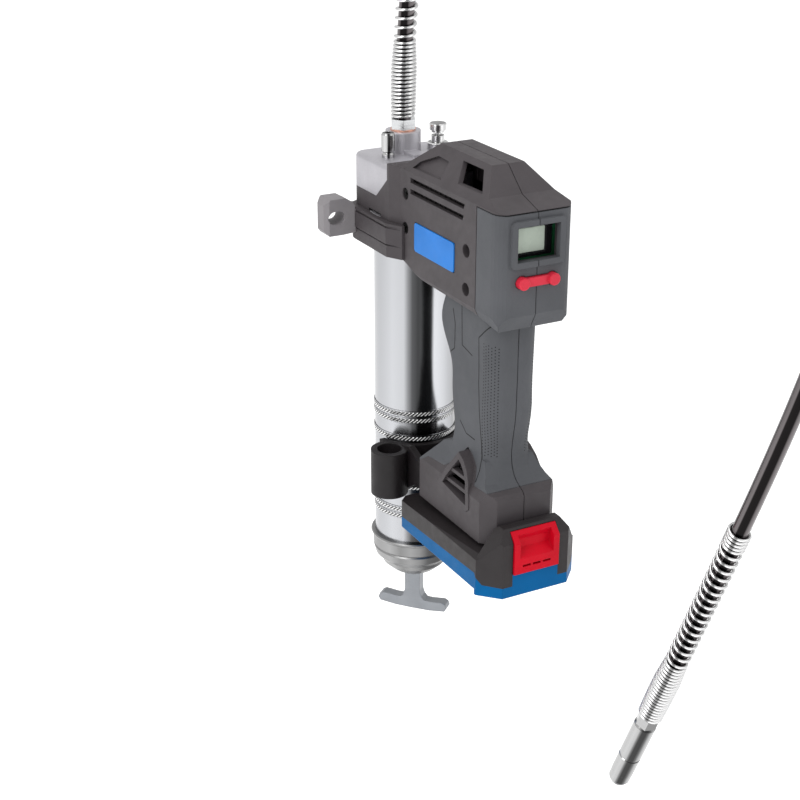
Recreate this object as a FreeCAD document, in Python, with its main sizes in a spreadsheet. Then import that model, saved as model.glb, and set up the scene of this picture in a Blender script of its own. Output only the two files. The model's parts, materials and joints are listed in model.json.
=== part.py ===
import FreeCAD
import Part
import math
import os

import Sketcher
from FreeCAD import Placement, Rotation, Vector

# Battery grease gun. Millimetres, +Z up. The origin is the middle of the hand grip.
# The grease barrel stands upright in front of the grip (+Y); the display looks back (-Y).
# The gun is symmetric about the plane X = 0, apart from its nozzle clip, fittings and hose.

DIMENSIONS = [
    ("barrel_y", 108.0, "grip middle to barrel axis"),
    ("barrel_radius", 28.5, "outside of the barrel, for a 400 g cartridge"),
    ("barrel_wall", 1.4, "wall of the barrel"),
    ("barrel_top", 91.5, "upper end, inside the pump head"),
    ("barrel_low", -158.0, "lower end, inside the cap"),
    ("band_height", 4.6, "one knurled band"),
    ("band_rise", 0.4, "knurled band above the barrel"),
    ("running_gap", 0.3, "between bodies that move past each other"),
    ("rod_radius", 4.0, "follower rod"),
    ("follower_z", 64.0, "underside of the follower, pushed in"),
    ("cap_rim_z", -149.0, "upper edge of the cap"),
    ("cap_rim_radius", 31.0, "cap rim"),
    ("cap_low", -185.0, "bottom of the cap"),
    ("handle_width", 54.0, "bar of the handle"),
    ("handle_low", -216.0, "underside of the handle's bar"),
    ("handle_thick", 8.0, "bar and stub, front to back"),
    ("handle_turn", -49.0, "bar against +X, degrees"),
    ("collar_low", 70.0, "underside of the barrel collar"),
    ("collar_top", 93.0, "top of the barrel collar"),
    ("collar_half", 35.5, "half width of the collar"),
    ("collar_front", 145.5, "front of the collar"),
    ("head_half", 31.0, "half width of the pump head"),
    ("head_front", 141.8, "front of the pump head"),
    ("head_low", 106.0, "lower edge of the bare casting"),
    ("head_top", 129.0, "top of the casting"),
    ("port_y", 126.0, "axis of the hose port"),
    ("port_top", 143.0, "top of the hose port boss"),
    ("port_radius", 12.0, "hose port boss"),
    ("washer_radius", 8.6, "copper washer"),
    ("nut_flats", 15.8, "hex of the hose adapter across flats"),
    ("nut_top", 151.0, "top of the hose adapter"),
    ("body_half", 27.0, "half width of the motor housing"),
    ("body_rear", -46.0, "rear face with the display"),
    ("body_wall", 3.0, "wall of the housing"),
    ("skin", 2.5, "thickness of the soft overmould"),
    ("seam_gap", 0.25, "each half stands this far from X = 0"),
    ("foot_half", 28.0, "half width of the foot"),
    ("foot_low", -92.0, "underside of the foot"),
    ("foot_front", 53.0, "front of the foot"),
    ("foot_rear", -40.0, "rear of the foot"),
    ("rail_half", 21.5, "half width of the battery rail"),
    ("rail_neck", 18.0, "half width of the rail's neck"),
    ("rail_top", -84.5, "top of the battery rail"),
    ("pack_half", 37.0, "half width of the battery"),
    ("pack_front", 64.0, "front of the battery"),
    ("pack_rear", -56.0, "rear of the battery"),
    ("pack_low", -122.0, "underside of the battery"),
    ("pack_top", -93.0, "top of the battery, under the foot"),
    ("cell_radius", 9.0, "one 18650 cell"),
    ("cell_length", 65.0, "one 18650 cell"),
    ("window_half", 15.5, "half width of the display window"),
    ("window_low", 99.5, "display window"),
    ("window_high", 122.5, "display window"),
    ("window_depth", 8.5, "display glass behind the rear face"),
    ("button_z", 87.0, "height of the two red buttons"),
    ("button_pitch", 21.5, "between the two red buttons"),
    ("button_radius", 3.9, "one red button"),
    ("badge_low", 80.2, "side badge"),
    ("badge_high", 99.4, "side badge"),
    ("badge_front", 58.8, "side badge"),
    ("badge_rear", 7.2, "side badge"),
    ("clip_x", -34.0, "axis of the nozzle clip"),
    ("clip_y", 82.0, "axis of the nozzle clip"),
    ("clip_radius", 13.0, "outside of the nozzle clip"),
    ("clip_bore", 8.6, "bore of the nozzle clip"),
    ("bracket_low", -102.0, "underside of the barrel bracket"),
    ("bracket_top", -69.0, "top of the barrel bracket"),
    ("bracket_inner", 29.5, "bore of the barrel bracket"),
    ("bracket_outer", 33.4, "outside of the barrel bracket"),
    ("eye_outer", 57.5, "outer end of a strap eye, from X = 0"),
    ("eye_slot_radius", 4.5, "half height of the strap slot"),
    ("eye_slot_length", 12.6, "length of the strap slot"),
    ("eye_z", 86.6, "middle of a strap eye"),
    ("shaft_z", 90.0, "motor and cam shaft"),
    ("motor_radius", 18.5, "motor can"),
    ("cam_reach", 10.0, "cam bearing, furthest from its shaft"),
    ("plunger_radius", 4.75, "pump plunger"),
    ("hose_radius", 5.3, "high pressure hose"),
    ("hose_plane", -80.0, "direction in which the hose arches, degrees from +X"),
    ("guard_radius", 7.6, "outside of the hose's spring guard"),
    ("guard_swell", 8.9, "spring guard over the crimp"),
    ("guard_length", 170.0, "spring guard"),
    ("coupler_radius", 7.4, "grease coupler"),
    ("coupler_length", 60.0, "grease coupler"),
    ("ferrule_length", 8.0, "hex between hose and coupler"),
]

# The hose's route in its own upright plane: outwards from the port and up from the port's top.
HOSE_ROUTE = [
    (0.0, 8.0),
    (0.5, 62.0),
    (10.0, 124.0),
    (38.0, 186.0),
    (92.0, 240.0),
    (168.0, 268.0),
    (248.0, 258.0),
    (315.0, 212.0),
    (357.0, 140.0),
    (371.0, 58.0),
    (366.0, -26.0),
    (341.0, -108.0),
    (299.0, -224.0),
    (257.3, -332.0),
]
ARC_SHARE = 0.45

doc = FreeCAD.newDocument("GreaseGun")
sheet = doc.addObject("Spreadsheet::Sheet", "Dims")
for row, (alias, value, meaning) in enumerate(DIMENSIONS, start=1):
    sheet.set(f"A{row}", alias)
    sheet.set(f"B{row}", str(value))
    sheet.set(f"C{row}", meaning)
    sheet.setAlias(f"B{row}", alias)
doc.recompute()
D = {alias: float(sheet.get(alias)) for alias, _, _ in DIMENSIONS}

FAR = 400.0
nodes = []


def publish(item, label):
    """Marks a document object as one of the gun's sub-parts."""
    item.Label = label
    nodes.append(item)
    return item


def feature(label, shape):
    """A sub-part whose shape neither a body nor a primitive can give."""
    item = doc.addObject("Part::Feature", "Made_" + label)
    item.Shape = shape.removeSplitter()
    item.Placement = Placement()
    return publish(item, label)


# ---------------------------------------------------------------- document helpers
def primitive(kind, name, sizes, base=None, turn=None):
    """A Part primitive whose sizes and position are expressions on the sheet."""
    item = doc.addObject("Part::" + kind, name)
    if turn is not None:
        item.Placement = Placement(Vector(), turn)
    for size, expression in sizes.items():
        item.setExpression(size, expression)
    for axis, expression in (base or {}).items():
        item.setExpression("Placement.Base." + axis, expression)
    return item


def cylinder(name, radius, height, x="0", y="0", z="0", turn=None):
    return primitive("Cylinder", name, {"Radius": radius, "Height": height},
                     {"x": x, "y": y, "z": z}, turn)


def cut(name, base, *tools):
    """Base less each tool in turn."""
    for number, tool in enumerate(tools):
        item = doc.addObject("Part::Cut", f"{name}_cut{number}")
        item.Base = base
        item.Tool = tool
        base = item
    return base


def fuse(name, *items):
    item = doc.addObject("Part::MultiFuse", name)
    item.Shapes = list(items)
    item.Refine = True
    return item


def origin_plane(body, role):
    return next(item for item in body.Origin.OriginFeatures if item.Role == role)


def new_sketch(body, name, role, offset=None):
    """A sketch on one of the body's own origin planes, moved by offset along its normal."""
    item = body.newObject("Sketcher::SketchObject", name)
    item.AttachmentSupport = [(origin_plane(body, role), "")]
    item.MapMode = "FlatFace"
    if offset is not None:
        item.setExpression("AttachmentOffset.Base.z", offset)
    return item


def draw_loop(sketch, points):
    """A closed loop of straight lines, joined end to end."""
    first = sketch.GeometryCount
    count = len(points)
    for number, point in enumerate(points):
        other = points[(number + 1) % count]
        sketch.addGeometry(Part.LineSegment(Vector(*point, 0), Vector(*other, 0)))
    for number in range(count):
        following = first + (number + 1) % count
        sketch.addConstraint(Sketcher.Constraint("Coincident", first + number, 2, following, 1))


def draw_circle(sketch, x, y, radius_name):
    """A circle whose radius is a cell of the sheet."""
    number = sketch.addGeometry(Part.Circle(Vector(x, y, 0), Vector(0, 0, 1), D[radius_name]))
    place = sketch.addConstraint(Sketcher.Constraint("Radius", number, D[radius_name]))
    sketch.setExpression(f"Constraints[{place}]", "Dims." + radius_name)


def pad(body, sketch, length, reverse=False, middle=False):
    item = body.newObject("PartDesign::Pad", body.Name + "_Pad")
    item.Profile = sketch
    item.Reversed = reverse
    item.Midplane = middle
    item.setExpression("Length", length)
    body.Tip = item
    return item


def pocket(body, sketch, length, reverse=False, middle=False):
    item = body.newObject("PartDesign::Pocket", body.Name + "_Pocket")
    item.Profile = sketch
    item.Reversed = reverse
    item.Midplane = middle
    item.setExpression("Length", length)
    body.Tip = item
    return item


def new_body(label):
    return publish(doc.addObject("PartDesign::Body", "Body_" + label), label)


def turned_body(label, outline, **base):
    """A turned piece about its own Z: the outline is (radius, height) points, base its place's expressions."""
    body = new_body(label)
    sketch = new_sketch(body, label + "_Outline", "XZ_Plane")
    draw_loop(sketch, outline)
    turn = body.newObject("PartDesign::Revolution", label + "_Turned")
    turn.Profile = sketch
    turn.ReferenceAxis = (sketch, ["V_Axis"])
    turn.Angle = 360
    body.Tip = turn
    for axis, expression in base.items():
        body.setExpression("Placement.Base." + axis, expression)
    return body


# ---------------------------------------------------------------- shape helpers
def prism(points, plane, low, high, inset=0.0):
    """Extrudes an outline given in the plane XY, XZ or YZ, drawn in by inset all round."""
    order = {"XY": lambda a, b, c: Vector(a, b, c),
             "XZ": lambda a, b, c: Vector(a, c, b),
             "YZ": lambda a, b, c: Vector(c, a, b)}[plane]
    corners = [order(a, b, low) for a, b in points]
    face = Part.Face(Part.makePolygon(corners + corners[:1]))
    if inset:
        face = face.makeOffset2D(-inset, 2)
    return face.extrude(order(0, 0, high - low))


def arc_corner(centre, radius, first, last, steps=5):
    """Points along a rounded corner, angles in degrees."""
    turns = [math.radians(first + (last - first) * step / steps) for step in range(steps + 1)]
    return [(centre[0] + radius * math.cos(turn), centre[1] + radius * math.sin(turn)) for turn in turns]


def block(x, y, z, dx, dy, dz):
    return Part.makeBox(dx, dy, dz, Vector(x, y, z))


def rod(start, end, radius):
    """A round bar from one point to another."""
    start, end = Vector(*start), Vector(*end)
    return Part.makeCylinder(radius, (end - start).Length, start, end - start)


def half_space(side):
    """Everything on one side of the seam, less half of the seam's gap."""
    gap = D["seam_gap"]
    start = gap if side > 0 else -FAR
    return block(start, -FAR, -FAR, FAR - gap, 2 * FAR, 2 * FAR)


def rounded_section(z, rear, front, half, rear_round, front_round, inset=0.0):
    """A closed wire across the grip: straight sides with four round corners."""
    rear, front, half = rear + inset, front - inset, half - inset
    rear_round, front_round = max(rear_round - inset, 2.0), max(front_round - inset, 2.0)
    corners = [(half - rear_round, rear + rear_round, rear_round, -90),
               (half - front_round, front - front_round, front_round, 0),
               (-half + front_round, front - front_round, front_round, 90),
               (-half + rear_round, rear + rear_round, rear_round, 180)]
    arcs = []
    for x, y, radius, start in corners:
        spots = [math.radians(start + step) for step in (0, 45, 90)]
        arcs.append(Part.Arc(*[Vector(x + radius * math.cos(a), y + radius * math.sin(a), z) for a in spots]))
    edges = []
    for number, arc in enumerate(arcs):
        edges.append(arc.toShape())
        edges.append(Part.LineSegment(arc.EndPoint, arcs[(number + 1) % 4].StartPoint).toShape())
    return Part.Wire(edges)


# ---------------------------------------------------------------- the handle's outer forms
# Side view of the motor housing: (Y, Z).
BODY_SIDE = [
    (79.0, 70.0), (70.0, 68.0), (51.5, 62.3), (-15.0, 60.5), (-40.7, 55.3), (-46.0, 65.4),
    (-46.0, 130.0), (-27.0, 136.0), (-10.0, 151.0), (53.0, 151.0), (75.0, 134.5), (90.0, 131.5),
    (90.0, 70.0),
]
# Front view of the motor housing: (X, Z), with the sloping flanks of the ridge.
BODY_FRONT = [(20.5, 50.0), (27.0, 64.5), (27.0, 131.0), (11.0, 151.5),
              (-11.0, 151.5), (-27.0, 131.0), (-27.0, 64.5), (-20.5, 50.0)]
# Plan of the motor housing: (X, Y), with round rear corners.
REAR_ROUND = 9.0


def body_plan():
    half, rear = D["body_half"], D["body_rear"]
    right = arc_corner((half - REAR_ROUND, rear + REAR_ROUND), REAR_ROUND, -90, 0)
    left = arc_corner((-half + REAR_ROUND, rear + REAR_ROUND), REAR_ROUND, 180, 270)
    return right + [(half, 92.0), (-half, 92.0)] + left


def body_form(inset=0.0):
    """The motor housing's form, drawn in by inset on every side."""
    side = prism(BODY_SIDE, "YZ", -60, 60, inset)
    front = prism(BODY_FRONT, "XZ", -80, 120, inset)
    plan = prism(body_plan(), "XY", 30, 170, inset)
    return side.common(front).common(plan)


# Grip cross-sections: height, rear, front, half width, rear and front corner radius.
GRIP_SECTIONS = [
    (67.0, -28.5, 44.0, 17.5, 12.5, 9.0),
    (46.0, -27.9, 44.5, 17.5, 12.5, 9.0),
    (31.0, -27.8, 43.5, 17.2, 12.5, 9.0),
    (17.0, -27.7, 35.5, 17.0, 12.5, 10.0),
    (2.0, -27.4, 32.5, 17.2, 12.5, 11.0),
    (-20.0, -25.6, 30.0, 17.4, 12.5, 11.0),
    (-38.0, -23.3, 28.5, 18.0, 12.5, 11.0),
    (-47.0, -25.0, 30.0, 20.0, 12.5, 11.0),
    (-56.0, -34.0, 36.0, 24.5, 10.0, 10.0),
]


def grip_form(inset=0.0):
    wires = [rounded_section(*section, inset=inset) for section in GRIP_SECTIONS]
    return Part.makeLoft(wires, True, False)


def foot_form(inset=0.0):
    """The foot: side view, front view and plan, drawn in by inset."""
    half, low, front, rear = D["foot_half"], D["foot_low"], D["foot_front"], D["foot_rear"]
    side = [(front, low), (front, -71.0), (front - 3.0, -65.0), (31.5, -45.0), (20.0, -41.0), (-20.0, -41.0),
            (-29.0, -53.6), (rear + 2.0, -58.0), (rear, -60.5), (rear, low)]
    face = [(half, low), (half, -63.0), (20.0, -48.0), (17.5, -40.0),
            (-17.5, -40.0), (-20.0, -48.0), (-half, -63.0), (-half, low)]
    plan = [(half, -31.0), (half, front - 4.0), (half - 4.0, front), (-half + 4.0, front),
            (-half, front - 4.0), (-half, -31.0), (-20.0, rear), (20.0, rear)]
    form = prism(side, "YZ", -60, 60, inset).common(prism(face, "XZ", -80, 90, inset))
    return form.common(prism(plan, "XY", -110, -20, inset))


# Cooling scoop on each side of the foot: (Y, Z).
SCOOP = [(1.0, -40.5), (-5.5, -43.5), (-11.5, -48.5), (-16.0, -56.0), (-17.8, -66.0), (-17.8, -74.0),
         (-14.6, -76.4), (23.4, -71.0), (13.0, -56.0)]
# Front view of a scoop, leaning in towards its top: (X, Z).
SCOOP_LEAN = [(-28.6, -80.0), (-28.6, -62.0), (-25.0, -38.0), (-10.0, -38.0), (-10.0, -80.0)]
SCOOP_RIM = 4.0
LOUVRE_HEIGHTS = (-55.5, -64.7)
LOUVRE_HALF = 1.3


def scoop_forms():
    """The pair of scoops standing out from the foot's slopes."""
    left = prism(SCOOP, "YZ", -28.6, -15.0).common(prism(SCOOP_LEAN, "XZ", -80, 80))
    return left, left.mirror(Vector(), Vector(1, 0, 0))


def scoop_hollows():
    """The air's way through each scoop into the foot."""
    left = prism(SCOOP, "YZ", -30.0, -13.0, SCOOP_RIM)
    return left, left.mirror(Vector(), Vector(1, 0, 0))


def scoop_bars():
    """Level louvres across each scoop, a little behind its rim."""
    bars = []
    for z in LOUVRE_HEIGHTS:
        bar = block(-26.6, -40.0, z - LOUVRE_HALF, 3.6, 80.0, 2 * LOUVRE_HALF)
        bar = bar.common(prism(SCOOP, "YZ", -28.4, -20.0, SCOOP_RIM - 0.6))
        bars += [bar, bar.mirror(Vector(), Vector(1, 0, 0))]
    return bars


# Pump head plan: (X, Y), U-shaped, with the front corners rounded.
HEAD_ROUND = 8.0


def head_plan(inset=0.0, rear=66.0):
    half, front = D["head_half"] - inset, D["head_front"] - inset
    turn = HEAD_ROUND - inset / 2
    right = arc_corner((half - turn, front - turn), turn, 0, 90)
    left = arc_corner((-half + turn, front - turn), turn, 90, 180)
    return [(half, rear)] + right + left + [(-half, rear)]


# Bare casting seen from the side: (Y, Z). Below and behind this line the plastic covers it.
def casting_side():
    low, top = D["head_low"], D["head_top"]
    return [(160.0, low), (106.0, low), (90.3, 120.4), (90.3, top), (160.0, top)]


def core_plan(rear):
    """Plan of the casting under the plastic: narrower behind, between the housing's flanks."""
    inset_front = head_plan(HEAD_INSET, 90.4)
    return ([(23.5, rear), (23.5, 80.0)] + inset_front + [(-23.5, 80.0), (-23.5, rear)])


def head_skirt_bore():
    return D["barrel_radius"] + D["running_gap"]


HEAD_SKIRT_RADIUS = 31.8
HEAD_INSET = 3.2
PLUNGER_Y = 62.0


def make_pump_head():
    """Casting: skirt over the barrel, bare front, covered middle, plunger block and hose port."""
    barrel_y, low = D["barrel_y"], D["collar_low"] + 2.0
    bare = prism(head_plan(), "XY", D["head_low"], D["head_top"]).common(prism(casting_side(), "YZ", -60, 60))
    rim = [edge for edge in bare.Edges if abs(edge.BoundBox.ZMin - D["head_top"]) < 0.01
           and abs(edge.BoundBox.ZMax - D["head_top"]) < 0.01 and edge.BoundBox.YMax > 92]
    bare = bare.makeFillet(3.0, rim)
    middle = prism(core_plan(74.0), "XY", D["collar_top"], D["head_top"] - 3.3)
    skirt = Part.makeCylinder(HEAD_SKIRT_RADIUS, D["collar_top"] - low, Vector(0, barrel_y, low))
    plunger_block = block(-13.0, PLUNGER_Y - 8.0, 110.0, 26.0, 16.0, 19.5)
    plunger_block = plunger_block.fuse(block(-13.0, PLUNGER_Y, 110.0, 26.0, 38.0, 15.5))
    boss = Part.makeCylinder(D["port_radius"], D["port_top"] - 110.0, Vector(0, D["port_y"], 110.0))
    pad_rib = block(-5.0, D["port_y"] - 24.0, D["head_top"] - 2.0, 10.0, 14.0, 4.2)
    head = bare.fuse([middle, skirt, plunger_block, boss, pad_rib])
    thread = Part.makeCylinder(head_skirt_bore(), D["barrel_top"] + 2.5 - low, Vector(0, barrel_y, low))
    grease_way = Part.makeCylinder(5.0, 14.0, Vector(0, barrel_y, D["barrel_top"]))
    outlet = Part.makeCylinder(3.5, 50.0, Vector(0, D["port_y"], 104.0))
    seat = Part.makeCylinder(6.0, 9.5, Vector(0, D["port_y"], D["port_top"] - 9.5))
    bore = Part.makeCylinder(D["plunger_radius"] + 0.05, 27.5, Vector(0, PLUNGER_Y, 100.0))
    inlet = rod((0, PLUNGER_Y, 121.5), (0, barrel_y, 100.0), 2.5)
    crossing = rod((0, PLUNGER_Y, 125.0), (0, D["port_y"], 110.0), 2.0)
    for tool in (thread, grease_way, outlet, seat, bore, inlet, crossing):
        head = head.cut(tool)
    for x, y, radius, depth in FITTINGS:
        head = head.cut(Part.makeCylinder(radius, depth + 20.0, Vector(x, y, D["head_top"] - depth)))
    return head


# Fittings screwed into the casting's top: x, y, thread radius, thread depth.
NIPPLE = (-18.0, 113.6, 3.0, 7.0)
BLEEDER = (23.0, 119.0, 4.0, 8.0)
FITTINGS = (NIPPLE, BLEEDER)


# ---------------------------------------------------------------- housing and overmould
WINDOW_RISE = 1.8
REAR_SPLIT = -19.5
REAR_TOP = 129.4
# Groove where the hard shell meets the overmould.
SEAM_WIDTH = 0.7
SEAM_DEPTH = 1.2
# Lower edge of the soft overmould on the foot, seen from the side: (Y, Z).
OVERMOULD_EDGE = [
    (-60.0, -55.2), (-18.6, -57.0), (-17.2, -54.0), (-12.4, -46.6), (-6.0, -41.8), (1.5, -38.8),
    (14.0, -54.0), (20.0, -58.0), (40.0, -59.5), (60.0, -72.0), (60.0, 80.0), (-60.0, 80.0),
]
# Side windows through the ridge, (Y, Z) on each flank.
RIDGE_WINDOW = [(20.0, 147.5), (-5.0, 147.5), (-18.0, 136.5), (11.0, 136.0)]
RIDGE_RECESS = [(47.0, 144.5), (62.0, 138.0), (66.0, 133.5), (30.0, 134.0), (33.0, 144.0)]
VENTS = ((124.2, 65.2, -4.8), (116.8, 65.2, -3.6))
VENT_HEIGHT = 3.3
SIDE_SCREWS = ((72.0, 115.2), (72.0, 92.2))
SIDE_BOSSES = ((-7.2, 98.6), (-7.2, 73.7))
BOSS_HOLE = 4.25
SCREW_HOLE = 4.0
# Where the screw heads sit, from X = 0.
SCREW_SEAT = 24.8
BOSS_SEAT = 19.6


def rear_zone():
    return block(-60, -60, 40, 120, 60 + REAR_SPLIT, REAR_TOP - 40)


def outer_core():
    """Outside of the hard shell, under the overmould where there is one."""
    skin = D["skin"]
    front_part = body_form().cut(rear_zone())
    rear_part = body_form(skin).common(rear_zone().fuse(block(-60, REAR_SPLIT, 40, 120, 3, 90)))
    foot = foot_form(skin).fuse(foot_form().cut(prism(OVERMOULD_EDGE, "YZ", -60, 60)))
    core = front_part.fuse([rear_part, grip_form(skin), foot])
    return core


def soft_form():
    """Outside of the overmould: rear of the housing, whole grip and the foot's upper slopes."""
    rear = body_form().common(rear_zone())
    grip = grip_form().cut(block(-60, REAR_SPLIT, 60.4, 120, 120, 60))
    grip = grip.common(prism(OVERMOULD_EDGE, "YZ", -60, 60))
    foot = foot_form().common(prism(OVERMOULD_EDGE, "YZ", -60, 60))
    return rear.fuse([grip, foot])


def cavity():
    """Hollow inside of the housing, grip and foot."""
    wall, skin = D["body_wall"], D["skin"]
    body = body_form(wall).cut(block(-60, -60, 40, 120, 60 + REAR_SPLIT + wall, 120))
    rear = body_form(wall + skin).common(block(-60, -60, 40, 120, 64 + REAR_SPLIT + wall, 120))
    return body.fuse([rear, grip_form(wall + skin), foot_form(wall + skin)])


def shroud():
    """Front of the housing that wraps the pump head above the collar."""
    low, top = D["collar_top"], 131.5
    half = D["head_half"]
    plan = ([(27.0, 74.0), (27.0, 78.4), (half, 88.0)] + head_plan()[1:-1]
            + [(-half, 88.0), (-27.0, 78.4), (-27.0, 74.0)])
    outer = prism(plan, "XY", low, top)
    inner = prism(core_plan(60.0), "XY", low - 1, D["head_top"] - HEAD_INSET)
    bare = casting_side()[:-2] + [(90.3, 150.0), (160.0, 150.0)]
    return outer.cut(inner).cut(prism(bare, "YZ", -60, 60))


def window_form(extra=0.0):
    half, low, high = D["window_half"], D["window_low"], D["window_high"]
    return block(-half - extra, D["body_rear"] - 6, low - extra, 2 * (half + extra),
                 20.0, high - low + 2 * extra)


def bezel():
    """Raised frame round the display window."""
    half, low, high = D["window_half"] + 3.6, D["window_low"] - 3.4, D["window_high"] + 3.2
    outline = [(-half + 2, low), (half - 2, low), (half, low + 2), (half, high - 2),
               (half - 2, high), (-half + 2, high), (-half, high - 2), (-half, low + 2)]
    return prism(outline, "XZ", D["body_rear"] - WINDOW_RISE, D["body_rear"] + 3.0)


def button_slot(extra=0.0):
    """Room for the red rocker in the rear face."""
    rear, z, reach = D["body_rear"], D["button_z"], D["button_pitch"] / 2
    radius = D["button_radius"] + extra
    ends = [Part.makeCylinder(radius, 14.0, Vector(x, rear + 10.0, z), Vector(0, -1, 0))
            for x in (-reach, reach)]
    bar = block(-reach, rear - 4.0, z - 2.9 - extra, 2 * reach, 14.0, 5.8 + 2 * extra)
    return ends[0].fuse([ends[1], bar])


def side_openings():
    """Vents, screw holes and ridge windows, cut through both flanks."""
    tools = [prism(RIDGE_WINDOW, "YZ", -40, 40)]
    for low, front, rear in VENTS:
        slope = [(front, low), (front, low + VENT_HEIGHT), (rear, low + VENT_HEIGHT), (rear + 1.6, low)]
        tools.append(prism(slope, "YZ", -40, 40))
    for y, z in SIDE_SCREWS:
        tools.append(rod((-40, y, z), (-SCREW_SEAT, y, z), SCREW_HOLE))
        tools.append(rod((SCREW_SEAT, y, z), (40, y, z), SCREW_HOLE))
        tools.append(rod((-SCREW_SEAT, y, z), (-20.0, y, z), 1.6))
    for y, z in SIDE_BOSSES:
        tools.append(rod((-40, y, z), (-BOSS_SEAT, y, z), BOSS_HOLE))
        tools.append(rod((BOSS_SEAT, y, z), (40, y, z), BOSS_HOLE))
        tools.append(rod((-BOSS_SEAT, y, z), (-10.0, y, z), 1.6))
    return tools


def bosses():
    """Round posts inside the flanks that carry the rear screws."""
    posts = []
    for y, z in SIDE_BOSSES:
        for side in (-1, 1):
            posts.append(rod((side * 24.5, y, z), (side * 18.7, y, z), BOSS_HOLE + 1.8))
    return posts


def badge_seat(side):
    low, high = D["badge_low"] - 0.2, D["badge_high"] + 0.2
    rear, front = D["badge_rear"] - 0.2, D["badge_front"] + 0.2
    x = D["body_half"] - 0.8
    return block(x if side > 0 else -x - 5, rear, low, 5, front - rear, high - low)


def ridge_recesses():
    shallow = prism(RIDGE_RECESS, "YZ", -40, 40)
    middle = prism(BODY_FRONT, "XZ", -80, 120, 2.2)
    return shallow.cut(middle)


TRIGGER_Z = (27.0, 50.0)
TRIGGER_HALF = 7.5


def trigger_slot():
    low, high = TRIGGER_Z
    gap = D["running_gap"]
    return block(-TRIGGER_HALF - gap, 22.0, low - gap, 2 * (TRIGGER_HALF + gap), 40.0, high - low + 2 * gap)


def rail_channel(gap):
    """T-shaped channel for the battery rail, open to the rear."""
    neck, head, low, top = D["rail_neck"] + gap, D["rail_half"] + gap, D["foot_low"], D["rail_top"] + gap
    mouth = block(-neck, -60, low - 1, 2 * neck, 60 + 47.0, 4.0)
    upper = block(-head, -60, low + 3.0 - gap, 2 * head, 60 + 47.0, top - low - 3.0 + gap)
    return mouth.fuse(upper)


def foot_floor():
    """Solid plate at the bottom of the foot that holds the rail channel."""
    return foot_form(0.5).common(block(-60, -60, D["foot_low"], 120, 140, 11.5))


def make_hard_shell():
    core = outer_core()
    shell = core.fuse(list(scoop_forms())).cut(cavity())
    shell = shell.cut(Part.makeCompound(scoop_hollows()))
    shell = shell.fuse([shroud(), foot_floor()] + scoop_bars())
    shell = shell.fuse(bosses())
    head_room = Part.makeCylinder(HEAD_SKIRT_RADIUS + 0.3, 50.0, Vector(0, D["barrel_y"], 45.0))
    head_room = head_room.fuse(prism(core_plan(60.0), "XY", 93.0, D["head_top"] - HEAD_INSET))
    for tool in [head_room, window_form(), button_slot(0.4), trigger_slot(), rail_channel(0.3)]:
        shell = shell.cut(tool)
    for tool in side_openings():
        shell = shell.cut(tool)
    shell = shell.cut(ridge_recesses())
    upright = block(-60, REAR_SPLIT, 40, 120, SEAM_WIDTH, REAR_TOP - 40)
    level = block(-60, -60, REAR_TOP, 120, 60 + REAR_SPLIT + SEAM_WIDTH, SEAM_WIDTH)
    shell = shell.cut(upright.fuse(level).cut(body_form(SEAM_DEPTH)))
    for side in (-1, 1):
        shell = shell.cut(badge_seat(side))
    return shell


def make_overmould():
    soft = soft_form()
    rear_block = bezel()
    soft = soft.fuse(rear_block)
    core = outer_core().fuse(list(scoop_forms()))
    soft = soft.cut(core)
    for tool in (window_form(-0.6), button_slot(0.4), trigger_slot()):
        soft = soft.cut(tool)
    return soft


def largest(shape):
    """The biggest solid of a shape, without crumbs."""
    return max(shape.Solids, key=lambda solid: solid.Volume)


hard = make_hard_shell()
soft = make_overmould()
for side, name in ((-1, "left"), (1, "right")):
    feature("housing_" + name, largest(hard.common(half_space(side))))
    feature("overmould_" + name, largest(soft.common(half_space(side))))

feature("pump_head", largest(make_pump_head()))


# ---------------------------------------------------------------- collar and strap eyes
def collar_plan(grow=0.0):
    half, front, turn = D["collar_half"] + grow, D["collar_front"] + grow, 14.0
    right = arc_corner((half - turn, front - turn), turn, 0, 90, 7)
    left = arc_corner((-half + turn, front - turn), turn, 90, 180, 7)
    return ([(27.0, 73.0), (29.0, 73.0), (half, 84.0)] + right + left
            + [(-half, 84.0), (-29.0, 73.0), (-27.0, 73.0)])


def make_collar():
    """Clamp round the pump head's skirt: two bands with grooves between and above."""
    low, top, split = D["collar_low"], D["collar_top"], D["collar_low"] + 9.0
    ring = prism(collar_plan(-0.6), "XY", low, split - 1.0)
    ring = ring.fuse([prism(collar_plan(-1.6), "XY", split - 1.0, split),
                      prism(collar_plan(), "XY", split, top - 3.0),
                      prism(collar_plan(-1.2), "XY", top - 3.0, top - 1.8),
                      prism(collar_plan(-0.2), "XY", top - 1.8, top)])
    bore = Part.makeCylinder(HEAD_SKIRT_RADIUS, 60.0, Vector(0, D["barrel_y"], low + 2.0))
    barrel_way = Part.makeCylinder(D["barrel_radius"] + 0.5, 60.0, Vector(0, D["barrel_y"], low - 1.0))
    ring = ring.cut(bore).cut(barrel_way)
    ring = ring.cut(block(-27.0, 60.0, low - 1, 54.0, 30.2, 40.0))
    for side in (-1, 1):
        ring = ring.cut(eye_form(side, 0.0))
    return ring


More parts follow.
